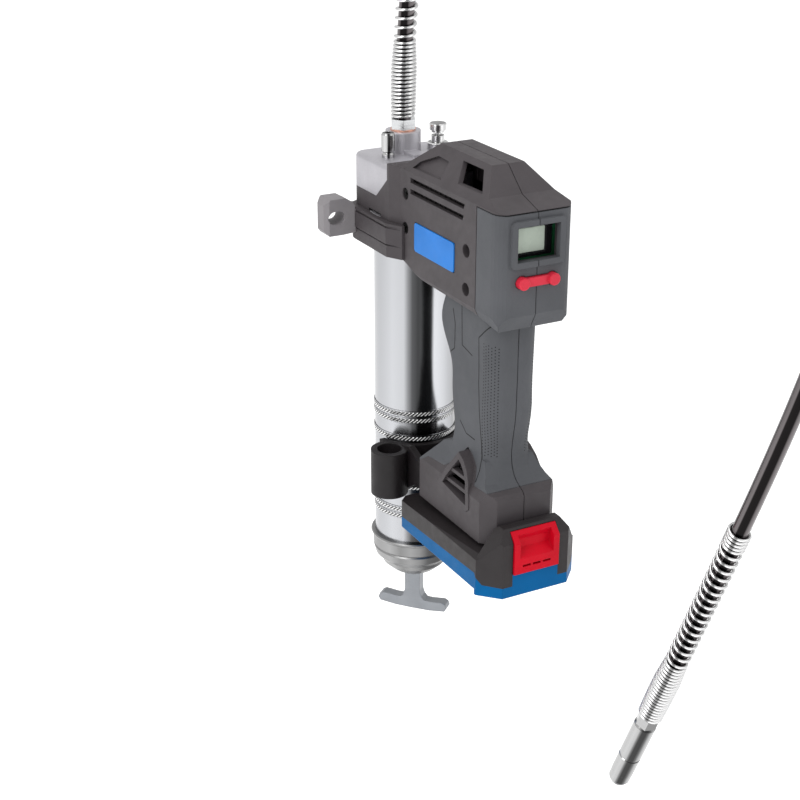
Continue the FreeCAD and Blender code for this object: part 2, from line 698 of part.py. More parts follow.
def eye_form(side, slot=True):
    """Bevelled lug that carries a strap: outer end, slot along Y."""
    outer, z = D["eye_outer"], D["eye_z"]
    outline = [(26.0, z - 11.0), (44.0, z - 12.4), (outer - 3.0, z - 12.4), (outer, z - 9.0),
               (outer, z + 9.0), (outer - 4.0, z + 13.0), (42.5, z + 13.0), (36.5, z + 9.5),
               (34.0, z + 5.6), (26.0, z + 5.6)]
    lug = prism([(side * x, height) for x, height in outline], "XZ", EYE_REAR, EYE_FRONT)
    plan = [(26.0, EYE_REAR), (outer - 3.0, EYE_REAR), (outer, EYE_REAR + 3.0), (outer, EYE_FRONT - 3.0),
            (outer - 3.0, EYE_FRONT), (30.0, EYE_FRONT), (26.0, EYE_FRONT - 0.6)]
    lug = lug.common(prism([(side * x, y) for x, y in plan], "XY", 50, 120))
    if slot:
        radius, reach = D["eye_slot_radius"], D["eye_slot_length"] / 2 - D["eye_slot_radius"]
        middle = side * EYE_SLOT_X
        for x in (middle - reach, middle + reach):
            lug = lug.cut(rod((x, 110, z), (x, 150, z), radius))
        lug = lug.cut(block(middle - reach, 110, z - radius, 2 * reach, 40, 2 * radius))
    skirt = Part.makeCylinder(HEAD_SKIRT_RADIUS, 60.0, Vector(0, D["barrel_y"], 60.0))
    return lug.cut(skirt)


EYE_SLOT_X = 48.8
EYE_REAR = 129.5
EYE_FRONT = 145.2
feature("barrel_collar", largest(make_collar()))
feature("strap_eye_left", largest(eye_form(-1)))
feature("strap_eye_right", largest(eye_form(1)))


# ---------------------------------------------------------------- barrel, cap, rod and follower
def make_barrel():
    radius, low, top = D["barrel_radius"], D["barrel_low"], D["barrel_top"]
    tube = cylinder("Barrel_Tube", "Dims.barrel_radius", "Dims.barrel_top - Dims.barrel_low",
                    y="Dims.barrel_y", z="Dims.barrel_low")
    bands = []
    for number, z in enumerate(KNURL_BANDS):
        band = cylinder(f"Barrel_Band{number}", "Dims.barrel_radius + Dims.band_rise", "Dims.band_height",
                        y="Dims.barrel_y", z=str(z))
        bands.append(band)
    bore = cylinder("Barrel_Bore", "Dims.barrel_radius - Dims.barrel_wall",
                    "Dims.barrel_top - Dims.barrel_low + 20", y="Dims.barrel_y", z="Dims.barrel_low - 10")
    return publish(cut("Barrel", fuse("Barrel_Outside", tube, *bands), bore), "grease_barrel")


KNURL_BANDS = (-50.1, -55.2, -68.8, -106.8, -124.6, -129.7)
make_barrel()

gasket_outer = cylinder("Gasket_Outer", "Dims.barrel_radius - 0.1", "1.8",
                        y="Dims.barrel_y", z="Dims.barrel_top + 0.2")
gasket_bore = cylinder("Gasket_Bore", "Dims.barrel_radius - 4.5", "6",
                       y="Dims.barrel_y", z="Dims.barrel_top - 2")
publish(cut("Gasket", gasket_outer, gasket_bore), "barrel_gasket")


def cap_outline():
    """Spun cap: beaded rim, stepped dome, hole for the rod. Heights are from the sheet's origin."""
    rim, rim_z, low = D["cap_rim_radius"], D["cap_rim_z"], D["cap_low"]
    wall, thread = 1.3, D["barrel_radius"] + 0.05
    hole = D["rod_radius"] + 0.3
    outside = [(rim, rim_z), (rim + 0.6, rim_z - 1.0), (rim, rim_z - 2.2), (rim - 0.9, rim_z - 3.0),
               (rim - 1.0, rim_z - 10.4), (rim - 2.0, rim_z - 11.4), (rim - 1.2, rim_z - 12.6),
               (rim - 2.6, rim_z - 18.0), (rim - 6.0, rim_z - 21.5), (rim - 6.9, rim_z - 22.3),
               (rim - 8.0, rim_z - 25.5), (rim - 14.0, rim_z - 31.0), (10.0, low + 1.0), (8.0, low)]
    inside = [(hole, low), (hole, low + wall + 0.4), (9.0, low + wall + 0.8),
              (rim - 14.6, rim_z - 29.4), (rim - 9.4, rim_z - 24.0), (rim - 7.4, rim_z - 19.6),
              (rim - 4.4, rim_z - 17.0), (rim - 3.6, D["barrel_low"] - 0.1), (thread, D["barrel_low"] - 0.1),
              (thread, rim_z)]
    return outside + inside


turned_body("end_cap", cap_outline(), y="Dims.barrel_y")

guide_outer = cylinder("Guide_Outer", "Dims.rod_radius + 3", "6", y="Dims.barrel_y", z="Dims.cap_low + 2.2")
guide_bore = cylinder("Guide_Bore", "Dims.rod_radius + 0.1", "30", y="Dims.barrel_y", z="Dims.cap_low - 5")
publish(cut("Guide", guide_outer, guide_bore), "rod_guide")

publish(cylinder("Rod", "Dims.rod_radius", "Dims.follower_z + 9 - Dims.cap_low + 2",
                 y="Dims.barrel_y", z="Dims.cap_low - 2"), "follower_rod")


def make_handle():
    """Cast handle: a short flat stub and a drooping bar with round ends, one pad."""
    body = new_body("pull_handle")
    sketch = new_sketch(body, "Handle_Side", "XZ_Plane")
    half, low, top = D["handle_width"] / 2, D["handle_low"], D["cap_low"] - 0.6
    draw_loop(sketch, [(-half + 1.5, low + 1.6), (-half / 2, low + 0.2), (0, low), (half / 2, low + 0.2),
                       (half - 1.5, low + 1.6), (half, low + 4.2), (half - 1.0, low + 7.2),
                       (half - 3.5, low + 8.6), (half / 2, low + 7.6), (9.5, low + 7.8), (7.2, low + 10.5),
                       (5.8, low + 15.0), (5.8, top), (-5.8, top), (-5.8, low + 15.0), (-7.2, low + 10.5),
                       (-9.5, low + 7.8), (-half / 2, low + 7.6), (-half + 3.5, low + 8.6),
                       (-half + 1.0, low + 7.2), (-half, low + 4.2)])
    pad(body, sketch, "Dims.handle_thick", middle=True)
    hole = new_sketch(body, "Handle_Socket", "XY_Plane", "Dims.cap_low - 0.6")
    draw_circle(hole, 0, 0, "rod_radius")
    pocket(body, hole, "1.4")
    body.Placement = Placement(Vector(0, D["barrel_y"], 0), Rotation(Vector(0, 0, 1), D["handle_turn"]))
    return body


make_handle()


def follower_outline():
    """Rubber cup with two lips that wipe the barrel."""
    inner = D["barrel_radius"] - D["barrel_wall"]
    lip, low = inner - 0.2, D["follower_z"]
    return [(D["rod_radius"], low + 3.2), (lip - 4.0, low + 3.2), (lip, low), (lip, low + 2.0),
            (lip - 2.5, low + 4.5), (lip - 2.5, low + 7.5), (lip, low + 10.0), (lip, low + 12.0),
            (lip - 4.0, low + 8.5), (D["rod_radius"], low + 7.0)]


turned_body("follower_cup", follower_outline(), y="Dims.barrel_y")

plate_disc = cylinder("Plate_Disc", "17", "1.6", y="Dims.barrel_y", z="Dims.follower_z + 1.6")
plate_bore = cylinder("Plate_Bore", "Dims.rod_radius", "8", y="Dims.barrel_y", z="Dims.follower_z - 2")
publish(cut("Plate", plate_disc, plate_bore), "follower_plate")

SPRING_LOW = -177.5
SPRING_TURNS = 11
SPRING_RADIUS = 14.5
SPRING_WIRE = 1.1


def make_follower_spring():
    """Open coil spring between the cap's floor and the follower's plate."""
    high = D["follower_z"] + 1.4
    pitch = (high - SPRING_LOW - 2 * SPRING_WIRE) / SPRING_TURNS
    helix = Part.makeHelix(pitch, pitch * SPRING_TURNS, SPRING_RADIUS)
    start = Vector(SPRING_RADIUS, 0, 0)
    circle = Part.Wire(Part.Circle(start, Vector(0, 1, 0), SPRING_WIRE).toShape())
    coil = Part.Wire(helix).makePipeShell([circle], True, True)
    coil.translate(Vector(0, D["barrel_y"], SPRING_LOW + SPRING_WIRE))
    return coil


feature("follower_spring", make_follower_spring())


# ---------------------------------------------------------------- bracket with the nozzle clip
CRADLE_END = 100.0
ARM_LOW = -91.5
ARM_TOP = -71.5


def make_bracket():
    """Black cradle behind the barrel, two arms to the foot and the tube that parks the coupler."""
    low, top, barrel_y = D["bracket_low"], D["bracket_top"], D["barrel_y"]
    height = top - low
    ring = Part.makeCylinder(D["bracket_outer"], height, Vector(0, barrel_y, low))
    ring = ring.cut(block(-60, CRADLE_END, low - 5, 120, 80, 2 * height))
    clip = Part.makeCylinder(D["clip_radius"], height, Vector(D["clip_x"], D["clip_y"], low))
    arms = []
    for x in (-24.0, 19.5):
        side = [(53.0, ARM_LOW), (64.0, ARM_LOW), (80.0, low), (84.0, low), (84.0, top), (72.0, top + 3.0),
                (57.0, ARM_TOP), (53.0, ARM_TOP)]
        arms.append(prism(side, "YZ", x, x + 4.5))
    plate = block(-24.0, D["foot_front"], ARM_LOW, 48.0, 3.0, ARM_TOP - ARM_LOW)
    bracket = ring.fuse([clip, plate] + arms)
    bracket = bracket.cut(Part.makeCylinder(D["bracket_inner"], 2 * height, Vector(0, barrel_y, low - 10)))
    return bracket.cut(Part.makeCylinder(D["clip_bore"], 2 * height, Vector(D["clip_x"], D["clip_y"], low - 10)))


feature("barrel_bracket", make_bracket())


# ---------------------------------------------------------------- fittings on the head
washer_disc = cylinder("Washer_Disc", "Dims.washer_radius", "1.2", y="Dims.port_y", z="Dims.port_top")
washer_hole = cylinder("Washer_Hole", "6", "6", y="Dims.port_y", z="Dims.port_top - 2")
publish(cut("Washer", washer_disc, washer_hole), "outlet_washer")


def make_adapter():
    """Hex adapter of the hose: threaded stud below, hex above the washer."""
    body = new_body("hose_adapter")
    sketch = new_sketch(body, "Adapter_Hex", "XY_Plane", "Dims.port_top + 1.2")
    corner = D["nut_flats"] / math.sqrt(3)
    turns = [math.radians(ADAPTER_TURN + 60 * number) for number in range(6)]
    draw_loop(sketch, [(corner * math.cos(a), corner * math.sin(a)) for a in turns])
    pad(body, sketch, "Dims.nut_top - Dims.port_top - 1.2")
    stud = body.newObject("PartDesign::AdditiveCylinder", "Adapter_Stud")
    stud.setExpression("Height", "9.5 + 1.2")
    stud.Radius = 6.0
    stud.setExpression("Placement.Base.z", "Dims.port_top - 9.5")
    body.Tip = stud
    bore = body.newObject("PartDesign::SubtractiveCylinder", "Adapter_Bore")
    bore.Radius = 2.2
    bore.Height = 40.0
    bore.setExpression("Placement.Base.z", "Dims.port_top - 15")
    body.Tip = bore
    body.setExpression("Placement.Base.y", "Dims.port_y")
    return body


ADAPTER_TURN = 64.0
make_adapter()

nipple_x, nipple_y, nipple_thread, nipple_depth = NIPPLE
turned_body("filler_nipple", [
    (0, -nipple_depth), (nipple_thread, -nipple_depth), (nipple_thread, 0), (4.2, 0), (4.2, 2.2), (3.4, 3.2),
    (4.6, 4.4), (4.6, 15.4), (3.8, 16.6), (2.2, 16.6), (2.2, 14.0), (0, 14.0),
], x=str(nipple_x), y=str(nipple_y), z="Dims.head_top")

bleeder_x, bleeder_y, bleeder_thread, bleeder_depth = BLEEDER
turned_body("bleeder_body", [
    (2.2, -bleeder_depth), (bleeder_thread, -bleeder_depth), (bleeder_thread, 0), (7.4, 0), (7.4, 4.2),
    (6.6, 4.8), (4.6, 5.0), (4.6, 9.2), (4.2, 9.4), (2.2, 9.4),
], x=str(bleeder_x), y=str(bleeder_y), z="Dims.head_top")
turned_body("bleeder_knob", [
    (0, -4.0), (1.9, -4.0), (1.9, 11.6), (4.6, 11.6), (4.6, 12.9), (5.9, 13.3), (5.9, 17.0), (5.3, 17.7),
    (0, 17.9),
], x=str(bleeder_x), y=str(bleeder_y), z="Dims.head_top")

publish(primitive("Sphere", "Check_Ball", {"Radius": "3.2"},
                  {"y": "Dims.port_y", "z": "Dims.port_top - 16"}), "check_ball")


def make_check_spring():
    helix = Part.makeHelix(1.5, 1.5, 2.4)
    circle = Part.Wire(Part.Circle(Vector(2.4, 0, 0), Vector(0, 1, 0), 0.4).toShape())
    coil = Part.Wire(helix).makePipeShell([circle], True, True)
    coil.translate(Vector(0, D["port_y"], D["port_top"] - 12.3))
    return coil


feature("check_spring", make_check_spring())


# ---------------------------------------------------------------- side badges and screws
def make_badge(side, label):
    """Blue plate let into the flank, with bevelled edges and no lettering."""
    body = new_body(label)
    sketch = new_sketch(body, label + "_Outline", "YZ_Plane")
    rear, front, low, high = D["badge_rear"], D["badge_front"], D["badge_low"], D["badge_high"]
    round_off = 1.4
    draw_loop(sketch, [(rear + round_off, low), (front - round_off, low), (front, low + round_off),
                       (front, high - round_off), (front - round_off, high), (rear + round_off, high),
                       (rear, high - round_off), (rear, low + round_off)])
    pad(body, sketch, "1.4")
    start = D["body_half"] - 0.8
    body.Placement.Base.x = start if side > 0 else -start - 1.4
    return body


make_badge(-1, "side_badge_left")
make_badge(1, "side_badge_right")


def make_screws():
    """Countersunk screws that hold the two halves, all driven from the left."""
    screws = []
    places = [(y, z, SCREW_SEAT, 3.0) for y, z in SIDE_SCREWS] + [(y, z, BOSS_SEAT, 0.8) for y, z in SIDE_BOSSES]
    for y, z, seat, length in places:
        outer = -seat - 1.2
        head = rod((outer, y, z), (-seat, y, z), SCREW_HOLE - 0.4)
        shank = rod((-seat, y, z), (-seat + length, y, z), 1.5)
        cross = prism([(y - 1.8, z - 0.5), (y + 1.8, z - 0.5), (y + 1.8, z + 0.5), (y - 1.8, z + 0.5)],
                      "YZ", outer - 1.0, outer + 1.0)
        bar = prism([(y - 0.5, z - 1.8), (y + 0.5, z - 1.8), (y + 0.5, z + 1.8), (y - 0.5, z + 1.8)],
                    "YZ", outer - 1.0, outer + 1.0)
        screws.append(head.fuse(shank).cut(cross).cut(bar))
    return Part.makeCompound(screws)


feature("housing_screws", make_screws())


# ---------------------------------------------------------------- display, board and rocker
GLASS_Y = "Dims.body_rear + Dims.window_depth"
glass = primitive("Box", "Display_Glass",
                  {"Length": "2 * Dims.window_half - 0.4", "Width": "2.6",
                   "Height": "Dims.window_high - Dims.window_low - 0.4"},
                  {"x": "-Dims.window_half + 0.2", "y": GLASS_Y, "z": "Dims.window_low + 0.2"})
publish(glass, "display_module")
board = primitive("Box", "Board", {"Length": "40", "Width": "1.6", "Height": "52"},
                  {"x": "-20", "y": GLASS_Y + " + 2.6", "z": "72"})
publish(board, "control_board")


def make_rocker():
    """Red rubber rocker: two round buttons joined by a lower bar."""
    rear, z, reach = D["body_rear"], D["button_z"], D["button_pitch"] / 2
    bar = block(-reach, rear - 2.0, z - 2.9, 2 * reach, 4.5, 5.8)
    pieces = [bar]
    for x in (-reach, reach):
        button = Part.makeCylinder(D["button_radius"], 7.0, Vector(x, rear + 2.5, z), Vector(0, -1, 0))
        rim = [edge for edge in button.Edges if abs(edge.BoundBox.YMax - (rear - 4.5)) < 0.01
               and isinstance(edge.Curve, Part.Circle)]
        pieces.append(button.makeFillet(0.9, rim))
    pivot = Part.makeCylinder(1.2, 2 * 2.9, Vector(0, rear + 2.6, z - 2.9))
    return pieces[0].fuse(pieces[1:] + [pivot])


feature("button_rocker", make_rocker())


# ---------------------------------------------------------------- motor, gearbox, cam and plunger
MOTOR_REAR = -24.0
MOTOR_LENGTH = 52.0
GEARBOX_LENGTH = 24.0
ALONG_Y = Rotation(Vector(1, 0, 0), -90)

can_outer = cylinder("Can_Outer", "Dims.motor_radius", str(MOTOR_LENGTH), y=str(MOTOR_REAR),
                     z="Dims.shaft_z", turn=ALONG_Y)
can_inner = cylinder("Can_Inner", "Dims.motor_radius - 2", str(MOTOR_LENGTH - 4), y=str(MOTOR_REAR + 2),
                     z="Dims.shaft_z", turn=ALONG_Y)
can_bore = cylinder("Can_Bore", "3.6", str(MOTOR_LENGTH + 20), y=str(MOTOR_REAR - 10),
                    z="Dims.shaft_z", turn=ALONG_Y)
publish(cut("Can", can_outer, can_inner, can_bore), "motor_can")


def make_rotor():
    """Armature, shaft, cooling fan and pinion, about the motor's axis."""
    z = D["shaft_z"]
    shaft = rod((0, MOTOR_REAR - 6.0, z), (0, MOTOR_REAR + MOTOR_LENGTH + 9.0, z), 1.6)
    armature = rod((0, MOTOR_REAR + 12.0, z), (0, MOTOR_REAR + 42.0, z), 12.0)
    pinion = rod((0, MOTOR_REAR + MOTOR_LENGTH + 3.0, z), (0, MOTOR_REAR + MOTOR_LENGTH + 9.0, z), 3.4)
    hub = rod((0, MOTOR_REAR + 4.0, z), (0, MOTOR_REAR + 9.0, z), 6.0)
    slots = []
    for number in range(12):
        turn = math.radians(30 * number)
        slot = block(-0.6, MOTOR_REAR + 11.0, z + 9.0, 1.2, 32.0, 5.0)
        slot.rotate(Vector(0, 0, z), Vector(0, 1, 0), math.degrees(turn))
        slots.append(slot)
    for slot in slots:
        armature = armature.cut(slot)
    return shaft.fuse([armature, pinion, hub])


feature("motor_rotor", make_rotor())

gearbox_y = MOTOR_REAR + MOTOR_LENGTH
case_outer = cylinder("Case_Outer", "Dims.motor_radius + 1", str(GEARBOX_LENGTH), y=str(gearbox_y + 0.2),
                      z="Dims.shaft_z", turn=ALONG_Y)
case_inner = cylinder("Case_Inner", "Dims.motor_radius - 1.5", str(GEARBOX_LENGTH - 4), y=str(gearbox_y + 1.6),
                      z="Dims.shaft_z", turn=ALONG_Y)
case_bore = cylinder("Case_Bore", "5.6", str(GEARBOX_LENGTH + 20), y=str(gearbox_y - 10),
                     z="Dims.shaft_z", turn=ALONG_Y)
publish(cut("Case", case_outer, case_inner, case_bore), "gearbox_case")

CAM_OFFSET = 3.5
PLANET_RADIUS = 5.6
PLANET_ORBIT = 9.3


def make_cam_shaft():
    """Planet carrier with its planets, output shaft and eccentric cam."""
    z = D["shaft_z"]
    carrier = rod((0, gearbox_y + 11.0, z), (0, gearbox_y + 15.0, z), 14.0)
    shaft = rod((0, gearbox_y + 14.0, z), (0, PLUNGER_Y + 5.0, z), 5.2)
    pieces = [shaft]
    for number in range(3):
        turn = math.radians(90 + 120 * number)
        x, height = PLANET_ORBIT * math.cos(turn), z + PLANET_ORBIT * math.sin(turn)
        pieces.append(rod((x, gearbox_y + 3.4, height), (x, gearbox_y + 11.5, height), PLANET_RADIUS))
    reach = D["cam_reach"] - CAM_OFFSET
    pieces.append(rod((0, PLUNGER_Y - 4.0, z - CAM_OFFSET), (0, PLUNGER_Y + 4.0, z - CAM_OFFSET), reach))
    return carrier.fuse(pieces)


feature("cam_shaft", make_cam_shaft())


def make_plunger():
    """Pump plunger with a mushroom foot that rides on the cam."""
    low = D["shaft_z"] + D["cam_reach"] + 0.4
    stem = Part.makeCylinder(D["plunger_radius"], 17.5, Vector(0, PLUNGER_Y, low + 1.0))
    shoe = block(-5.0, PLUNGER_Y - 4.5, low, 10.0, 9.0, 1.8)
    return stem.fuse(shoe)


# ---------------------------------------------------------------- trigger
def make_trigger():
    """Finger blade in the front of the grip, with a stem that meets the switch."""
    low, high = TRIGGER_Z
    outline = [(24.0, low + 1.0), (43.5, low), (45.6, low + 4.0), (44.6, (low + high) / 2 + 2.0),
               (46.2, high - 3.0), (45.0, high), (24.0, high), (24.0, low + 20.0), (15.0, low + 20.0),
               (15.0, low + 13.0), (24.0, low + 13.0)]
    blade = prism(outline, "YZ", -TRIGGER_HALF, TRIGGER_HALF)
    stem_trim = block(-20, 10.0, 0.0, 20 - 4.0, 13.9, 80).fuse(block(4.0, 10.0, 0.0, 20, 13.9, 80))
    return blade.cut(stem_trim)


feature("pump_plunger", make_plunger())
feature("trigger", largest(make_trigger()))
switch = primitive("Box", "Switch", {"Length": "16", "Width": "20", "Height": "26"},
                   {"x": "-8", "y": "-13.5", "z": "26"})
publish(switch, "trigger_switch")


def make_trigger_spring():
    """Return spring between the switch and the trigger's blade, below the stem."""
    helix = Part.makeHelix(2.6, 15.6, 2.6)
    circle = Part.Wire(Part.Circle(Vector(2.6, 0, 0), Vector(0, 1, 0), 0.45).toShape())
    coil = Part.Wire(helix).makePipeShell([circle], True, True)
    coil.rotate(Vector(), Vector(1, 0, 0), -90)
    coil.translate(Vector(0, 7.5, 31.0))
    return coil


feature("trigger_spring", make_trigger_spring())

terminals = primitive("Box", "Terminals", {"Length": "30", "Width": "22", "Height": "9"},
                      {"x": "-15", "y": "16", "z": "-80.3"})
publish(terminals, "terminal_block")


# ---------------------------------------------------------------- battery
# Line where the black upper shell meets the blue lower one, seen from the side: (Y, Z).
PACK_SPLIT = [(70.0, -110.8), (-41.0, -106.6), (-46.0, -114.0), (-70.0, -115.0), (-70.0, -60.0), (70.0, -60.0)]
# Rear view of the upper shell's shoulders: (X, Z).
PACK_SHOULDERS = [(37.0, -130.0), (37.0, -98.0), (30.0, -88.0), (21.0, -75.5), (-21.0, -75.5),
                  (-30.0, -88.0), (-37.0, -98.0), (-37.0, -130.0)]
PACK_WALL = 2.2
LATCH_HALF = 16.8
LATCH_TRAVEL = 2.0


def pack_form(inset=0.0):
    """Outside of the whole battery without its rail."""
    half, front, rear, low = D["pack_half"], D["pack_front"], D["pack_rear"], D["pack_low"]
    plan = prism([(half, -43.0), (half, front - 6.0), (half - 6.0, front), (-half + 6.0, front),
                  (-half, front - 6.0), (-half, -43.0), (-24.5, rear), (24.5, rear)],
                 "XY", -140, -60, inset)
    face = [(half, -96.5), (half - 5.5, -93.4), (-half + 5.5, -93.4), (-half, -96.5),
            (-half, low + 4.0), (-half + 3.5, low), (half - 3.5, low), (half, low + 4.0)]
    body = plan.common(prism(face, "XZ", -60, 70, inset))
    side = [(-41.2, low), (-41.2, -79.0), (-44.0, -75.5), (-50.0, -75.5), (rear, -84.0),
            (rear, low + 4.0), (rear + 3.0, low)]
    shoulders = plan.common(prism(side, "YZ", -60, 60, inset)).common(
        prism(PACK_SHOULDERS, "XZ", -60, 70, inset))
    slope = [(66.0, -130.0), (66.0, -98.4), (-60.0, -93.4), (-60.0, -60.0), (-60.0, -130.0)]
    body = body.common(prism(slope, "YZ", -60, 60, inset))
    return body.fuse(shoulders)


def latch_room(gap):
    """The latch's place between the shoulders."""
    low, high = -105.9, -77.5
    inner = -50.8 + (LATCH_TRAVEL + 0.4 if gap else 0.0)
    side = [(inner, low - gap), (-57.5, low - gap), (-57.5, -84.0), (-51.6, high + gap), (inner, high + gap)]
    return prism(side, "YZ", -LATCH_HALF - gap, LATCH_HALF + gap)


def pack_rail():
    neck, head, top = D["rail_neck"], D["rail_half"], D["rail_top"]
    low = D["foot_low"]
    lower = block(-neck, -41.5, D["pack_top"] - 2.0, 2 * neck, 84.0, low + 3.4 - D["pack_top"] + 2.0)
    upper = block(-head, -41.5, low + 3.4, 2 * head, 84.0, top - low - 3.4)
    slots = [block(x, 12.0, low + 1.0, 2.2, 32.0, 20.0) for x in (-12.0, -5.0, 3.0, 10.0)]
    rail = lower.fuse(upper)
    for slot in slots:
        rail = rail.cut(slot)
    return rail


def make_battery():
    outer, inner = pack_form(), pack_form(PACK_WALL)
    shell = outer.cut(inner)
    upper_zone = prism(PACK_SPLIT, "YZ", -60, 60).cut(block(-LATCH_HALF - 0.3, -70, -140, 2 * LATCH_HALF + 0.6,
                                                            22, 140 - 106.0))
    backing = block(-20.0, -48.4, -110.0, 40.0, 2.0, 31.0)
    upper = shell.common(upper_zone).fuse([pack_rail(), backing])
    upper = upper.cut(latch_room(0.35))
    cavity_tool = pack_form(PACK_WALL).common(block(-60, -46.5, -130, 120, 200, 60))
    upper = upper.cut(cavity_tool.cut(backing).common(block(-60, -45.0, -130, 120, 200, 33.0)))
    lower = shell.cut(upper_zone).cut(upper)
    return largest(upper), largest(lower)


upper_shell, lower_shell = make_battery()
feature("battery_upper_shell", upper_shell)
feature("battery_lower_shell", lower_shell)


def make_latch():
    """Red release with a finger pocket and three small slots below it."""
    latch = latch_room(0.0)
    scoop_side = [(-60.0, -79.5), (-54.0, -79.5), (-51.5, -84.0), (-51.5, -90.0), (-60.0, -97.0)]
    latch = latch.cut(prism(scoop_side, "YZ", -12.5, 12.5))
    for x in (-10.5, -3.0, 4.5):
        latch = latch.cut(block(x, -60.0, -101.4, 6.0, 5.0, 1.5))
    return latch


feature("battery_latch", largest(make_latch()))


def make_cells():
    cells = []
    for number in range(CELL_COUNT):
        y = 45.5 - 18.6 * number
        cells.append(rod((-D["cell_length"] / 2, y, -110.3), (D["cell_length"] / 2, y, -110.3), D["cell_radius"]))
    return Part.makeCompound(cells)


CELL_COUNT = 5
feature("battery_cells", make_cells())

contacts = [block(x + 0.6, 14.0, -97.0, 1.0, 26.0, 11.0) for x in (-12.0, -5.0, 3.0, 10.0)]
feature("battery_contacts", Part.makeCompound(contacts))


# ---------------------------------------------------------------- hose
def hose_point(out, up):
    turn = math.radians(D["hose_plane"])
    return Vector(out * math.cos(turn), D["port_y"] + out * math.sin(turn), D["port_top"] + up)


def hose_edges():
    """Straight runs joined by tangent arcs; prints each arc's radius."""
    points = [hose_point(*spot) for spot in HOSE_ROUTE]
    edges, start = [], points[0]
    for before, corner, after in zip(points, points[1:], points[2:]):
        into, out = (corner - before), (after - corner)
        reach = ARC_SHARE * min(into.Length, out.Length)
        into.normalize()
        out.normalize()
        turn = into.getAngle(out)
        radius = reach / math.tan(turn / 2)
        print(f"hose turn {math.degrees(turn):.1f} degrees, radius {radius:.0f} mm")
        first, last = corner - into * reach, corner + out * reach
        middle = corner + (out - into).normalize() * (radius / math.cos(turn / 2) - radius)
        edges.append(Part.LineSegment(start, first).toShape())
        edges.append(Part.Arc(first, middle, last).toShape())
        start = last
    edges.append(Part.LineSegment(start, points[-1]).toShape())
    return edges


def part_of_route(edges, low, high):
    """The stretch of the route between two distances from its start."""
    kept, passed = [], 0.0
    for edge in edges:
        length = edge.Length
        first, last = max(low - passed, 0.0), min(high - passed, length)
        if last - first > 1e-6:
            a, b = edge.getParameterByLength(first), edge.getParameterByLength(last)
            kept.append(edge.Curve.toShape(a, b))
        passed += length
    return kept


def swept(edges, radius):
    """A round bar along part of the route."""
    start = edges[0].valueAt(edges[0].FirstParameter)
    along = edges[0].tangentAt(edges[0].FirstParameter)
    ring = Part.Wire(Part.Circle(start, along, radius).toShape())
    return Part.Wire(edges).makePipeShell([ring], True, True)


route = hose_edges()
route_length = sum(edge.Length for edge in route)
tube = swept(route, D["hose_radius"])
expected = math.pi * D["hose_radius"] ** 2 * route_length
print(f"hose length {route_length:.1f} mm, volume ratio {tube.Volume / expected:.4f}")
feature("hose_tube", tube)

SWELL_LENGTH = 29.0


def make_guard(low, high, swell_low, label):
    """Outside of a spring guard as a sleeve, thicker over the hose's crimp."""
    sleeve = swept(part_of_route(route, low, high), D["guard_radius"])
    swell = swept(part_of_route(route, max(swell_low, low), swell_low + SWELL_LENGTH), D["guard_swell"])
    bore = swept(part_of_route(route, max(low - 5, 0), min(high + 5, route_length)), D["hose_radius"])
    feature(label, largest(sleeve.fuse(swell).cut(bore)))


make_guard(0.5, D["guard_length"], 0.5, "port_spring_guard")
make_guard(route_length - D["guard_length"], route_length, route_length - SWELL_LENGTH, "end_spring_guard")

hose_end = hose_point(*HOSE_ROUTE[-1])
hose_along = (hose_end - hose_point(*HOSE_ROUTE[-2])).normalize()
TILT = Rotation(Vector(0, 0, 1), hose_along)


def place_on_hose_end(item, offset):
    item.Placement = Placement(hose_end + hose_along * offset, TILT)


# Hex that joins the hose to the coupler.
ferrule = new_body("coupler_hex")
ferrule_sketch = new_sketch(ferrule, "Ferrule_Hex", "XY_Plane")
FERRULE_CORNER = 7.4
ferrule_turns = [math.radians(30 + 60 * number) for number in range(6)]
draw_loop(ferrule_sketch, [(FERRULE_CORNER * math.cos(a), FERRULE_CORNER * math.sin(a))
                           for a in ferrule_turns])
pad(ferrule, ferrule_sketch, "Dims.ferrule_length")
place_on_hose_end(ferrule, 0.0)

NOSE_LENGTH = 11.0
sleeve_length = D["coupler_length"] - NOSE_LENGTH
coupler = turned_body("grease_coupler", [
    (4.0, 0), (D["coupler_radius"] - 1.0, 0), (D["coupler_radius"], 1.4), (D["coupler_radius"], 31.5),
    (D["coupler_radius"] - 0.5, 32.0), (D["coupler_radius"] - 0.5, 32.8), (D["coupler_radius"], 33.3),
    (D["coupler_radius"], sleeve_length), (4.0, sleeve_length),
])
place_on_hose_end(coupler, D["ferrule_length"])
nose = turned_body("coupler_nose", [
    (3.4, 0), (D["coupler_radius"] - 0.2, 0), (D["coupler_radius"] - 0.2, 7.0),
    (D["coupler_radius"] - 1.4, 9.6), (D["coupler_radius"] - 2.8, NOSE_LENGTH), (3.4, NOSE_LENGTH),
])
place_on_hose_end(nose, D["ferrule_length"] + sleeve_length)


# ---------------------------------------------------------------- checks and export
doc.recompute()
for item in doc.Objects:
    if "Invalid" in item.State or "Error" in item.State:
        raise RuntimeError(f"{item.Label}: {item.State}")
os.makedirs("parts", exist_ok=True)
for item in nodes:
    shape = item.Shape
    if shape.isNull() or not shape.isValid():
        raise RuntimeError(f"{item.Label}: bad shape")
    print(f"{item.Label}: {len(shape.Solids)} solid(s), {shape.Volume / 1000:.2f} cm3")
    shape.exportStep(f"parts/{item.Label}.step")
print(f"{len(nodes)} nodes written")
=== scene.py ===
import json
import math

import bpy
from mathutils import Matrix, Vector
from mathutils.bvhtree import BVHTree


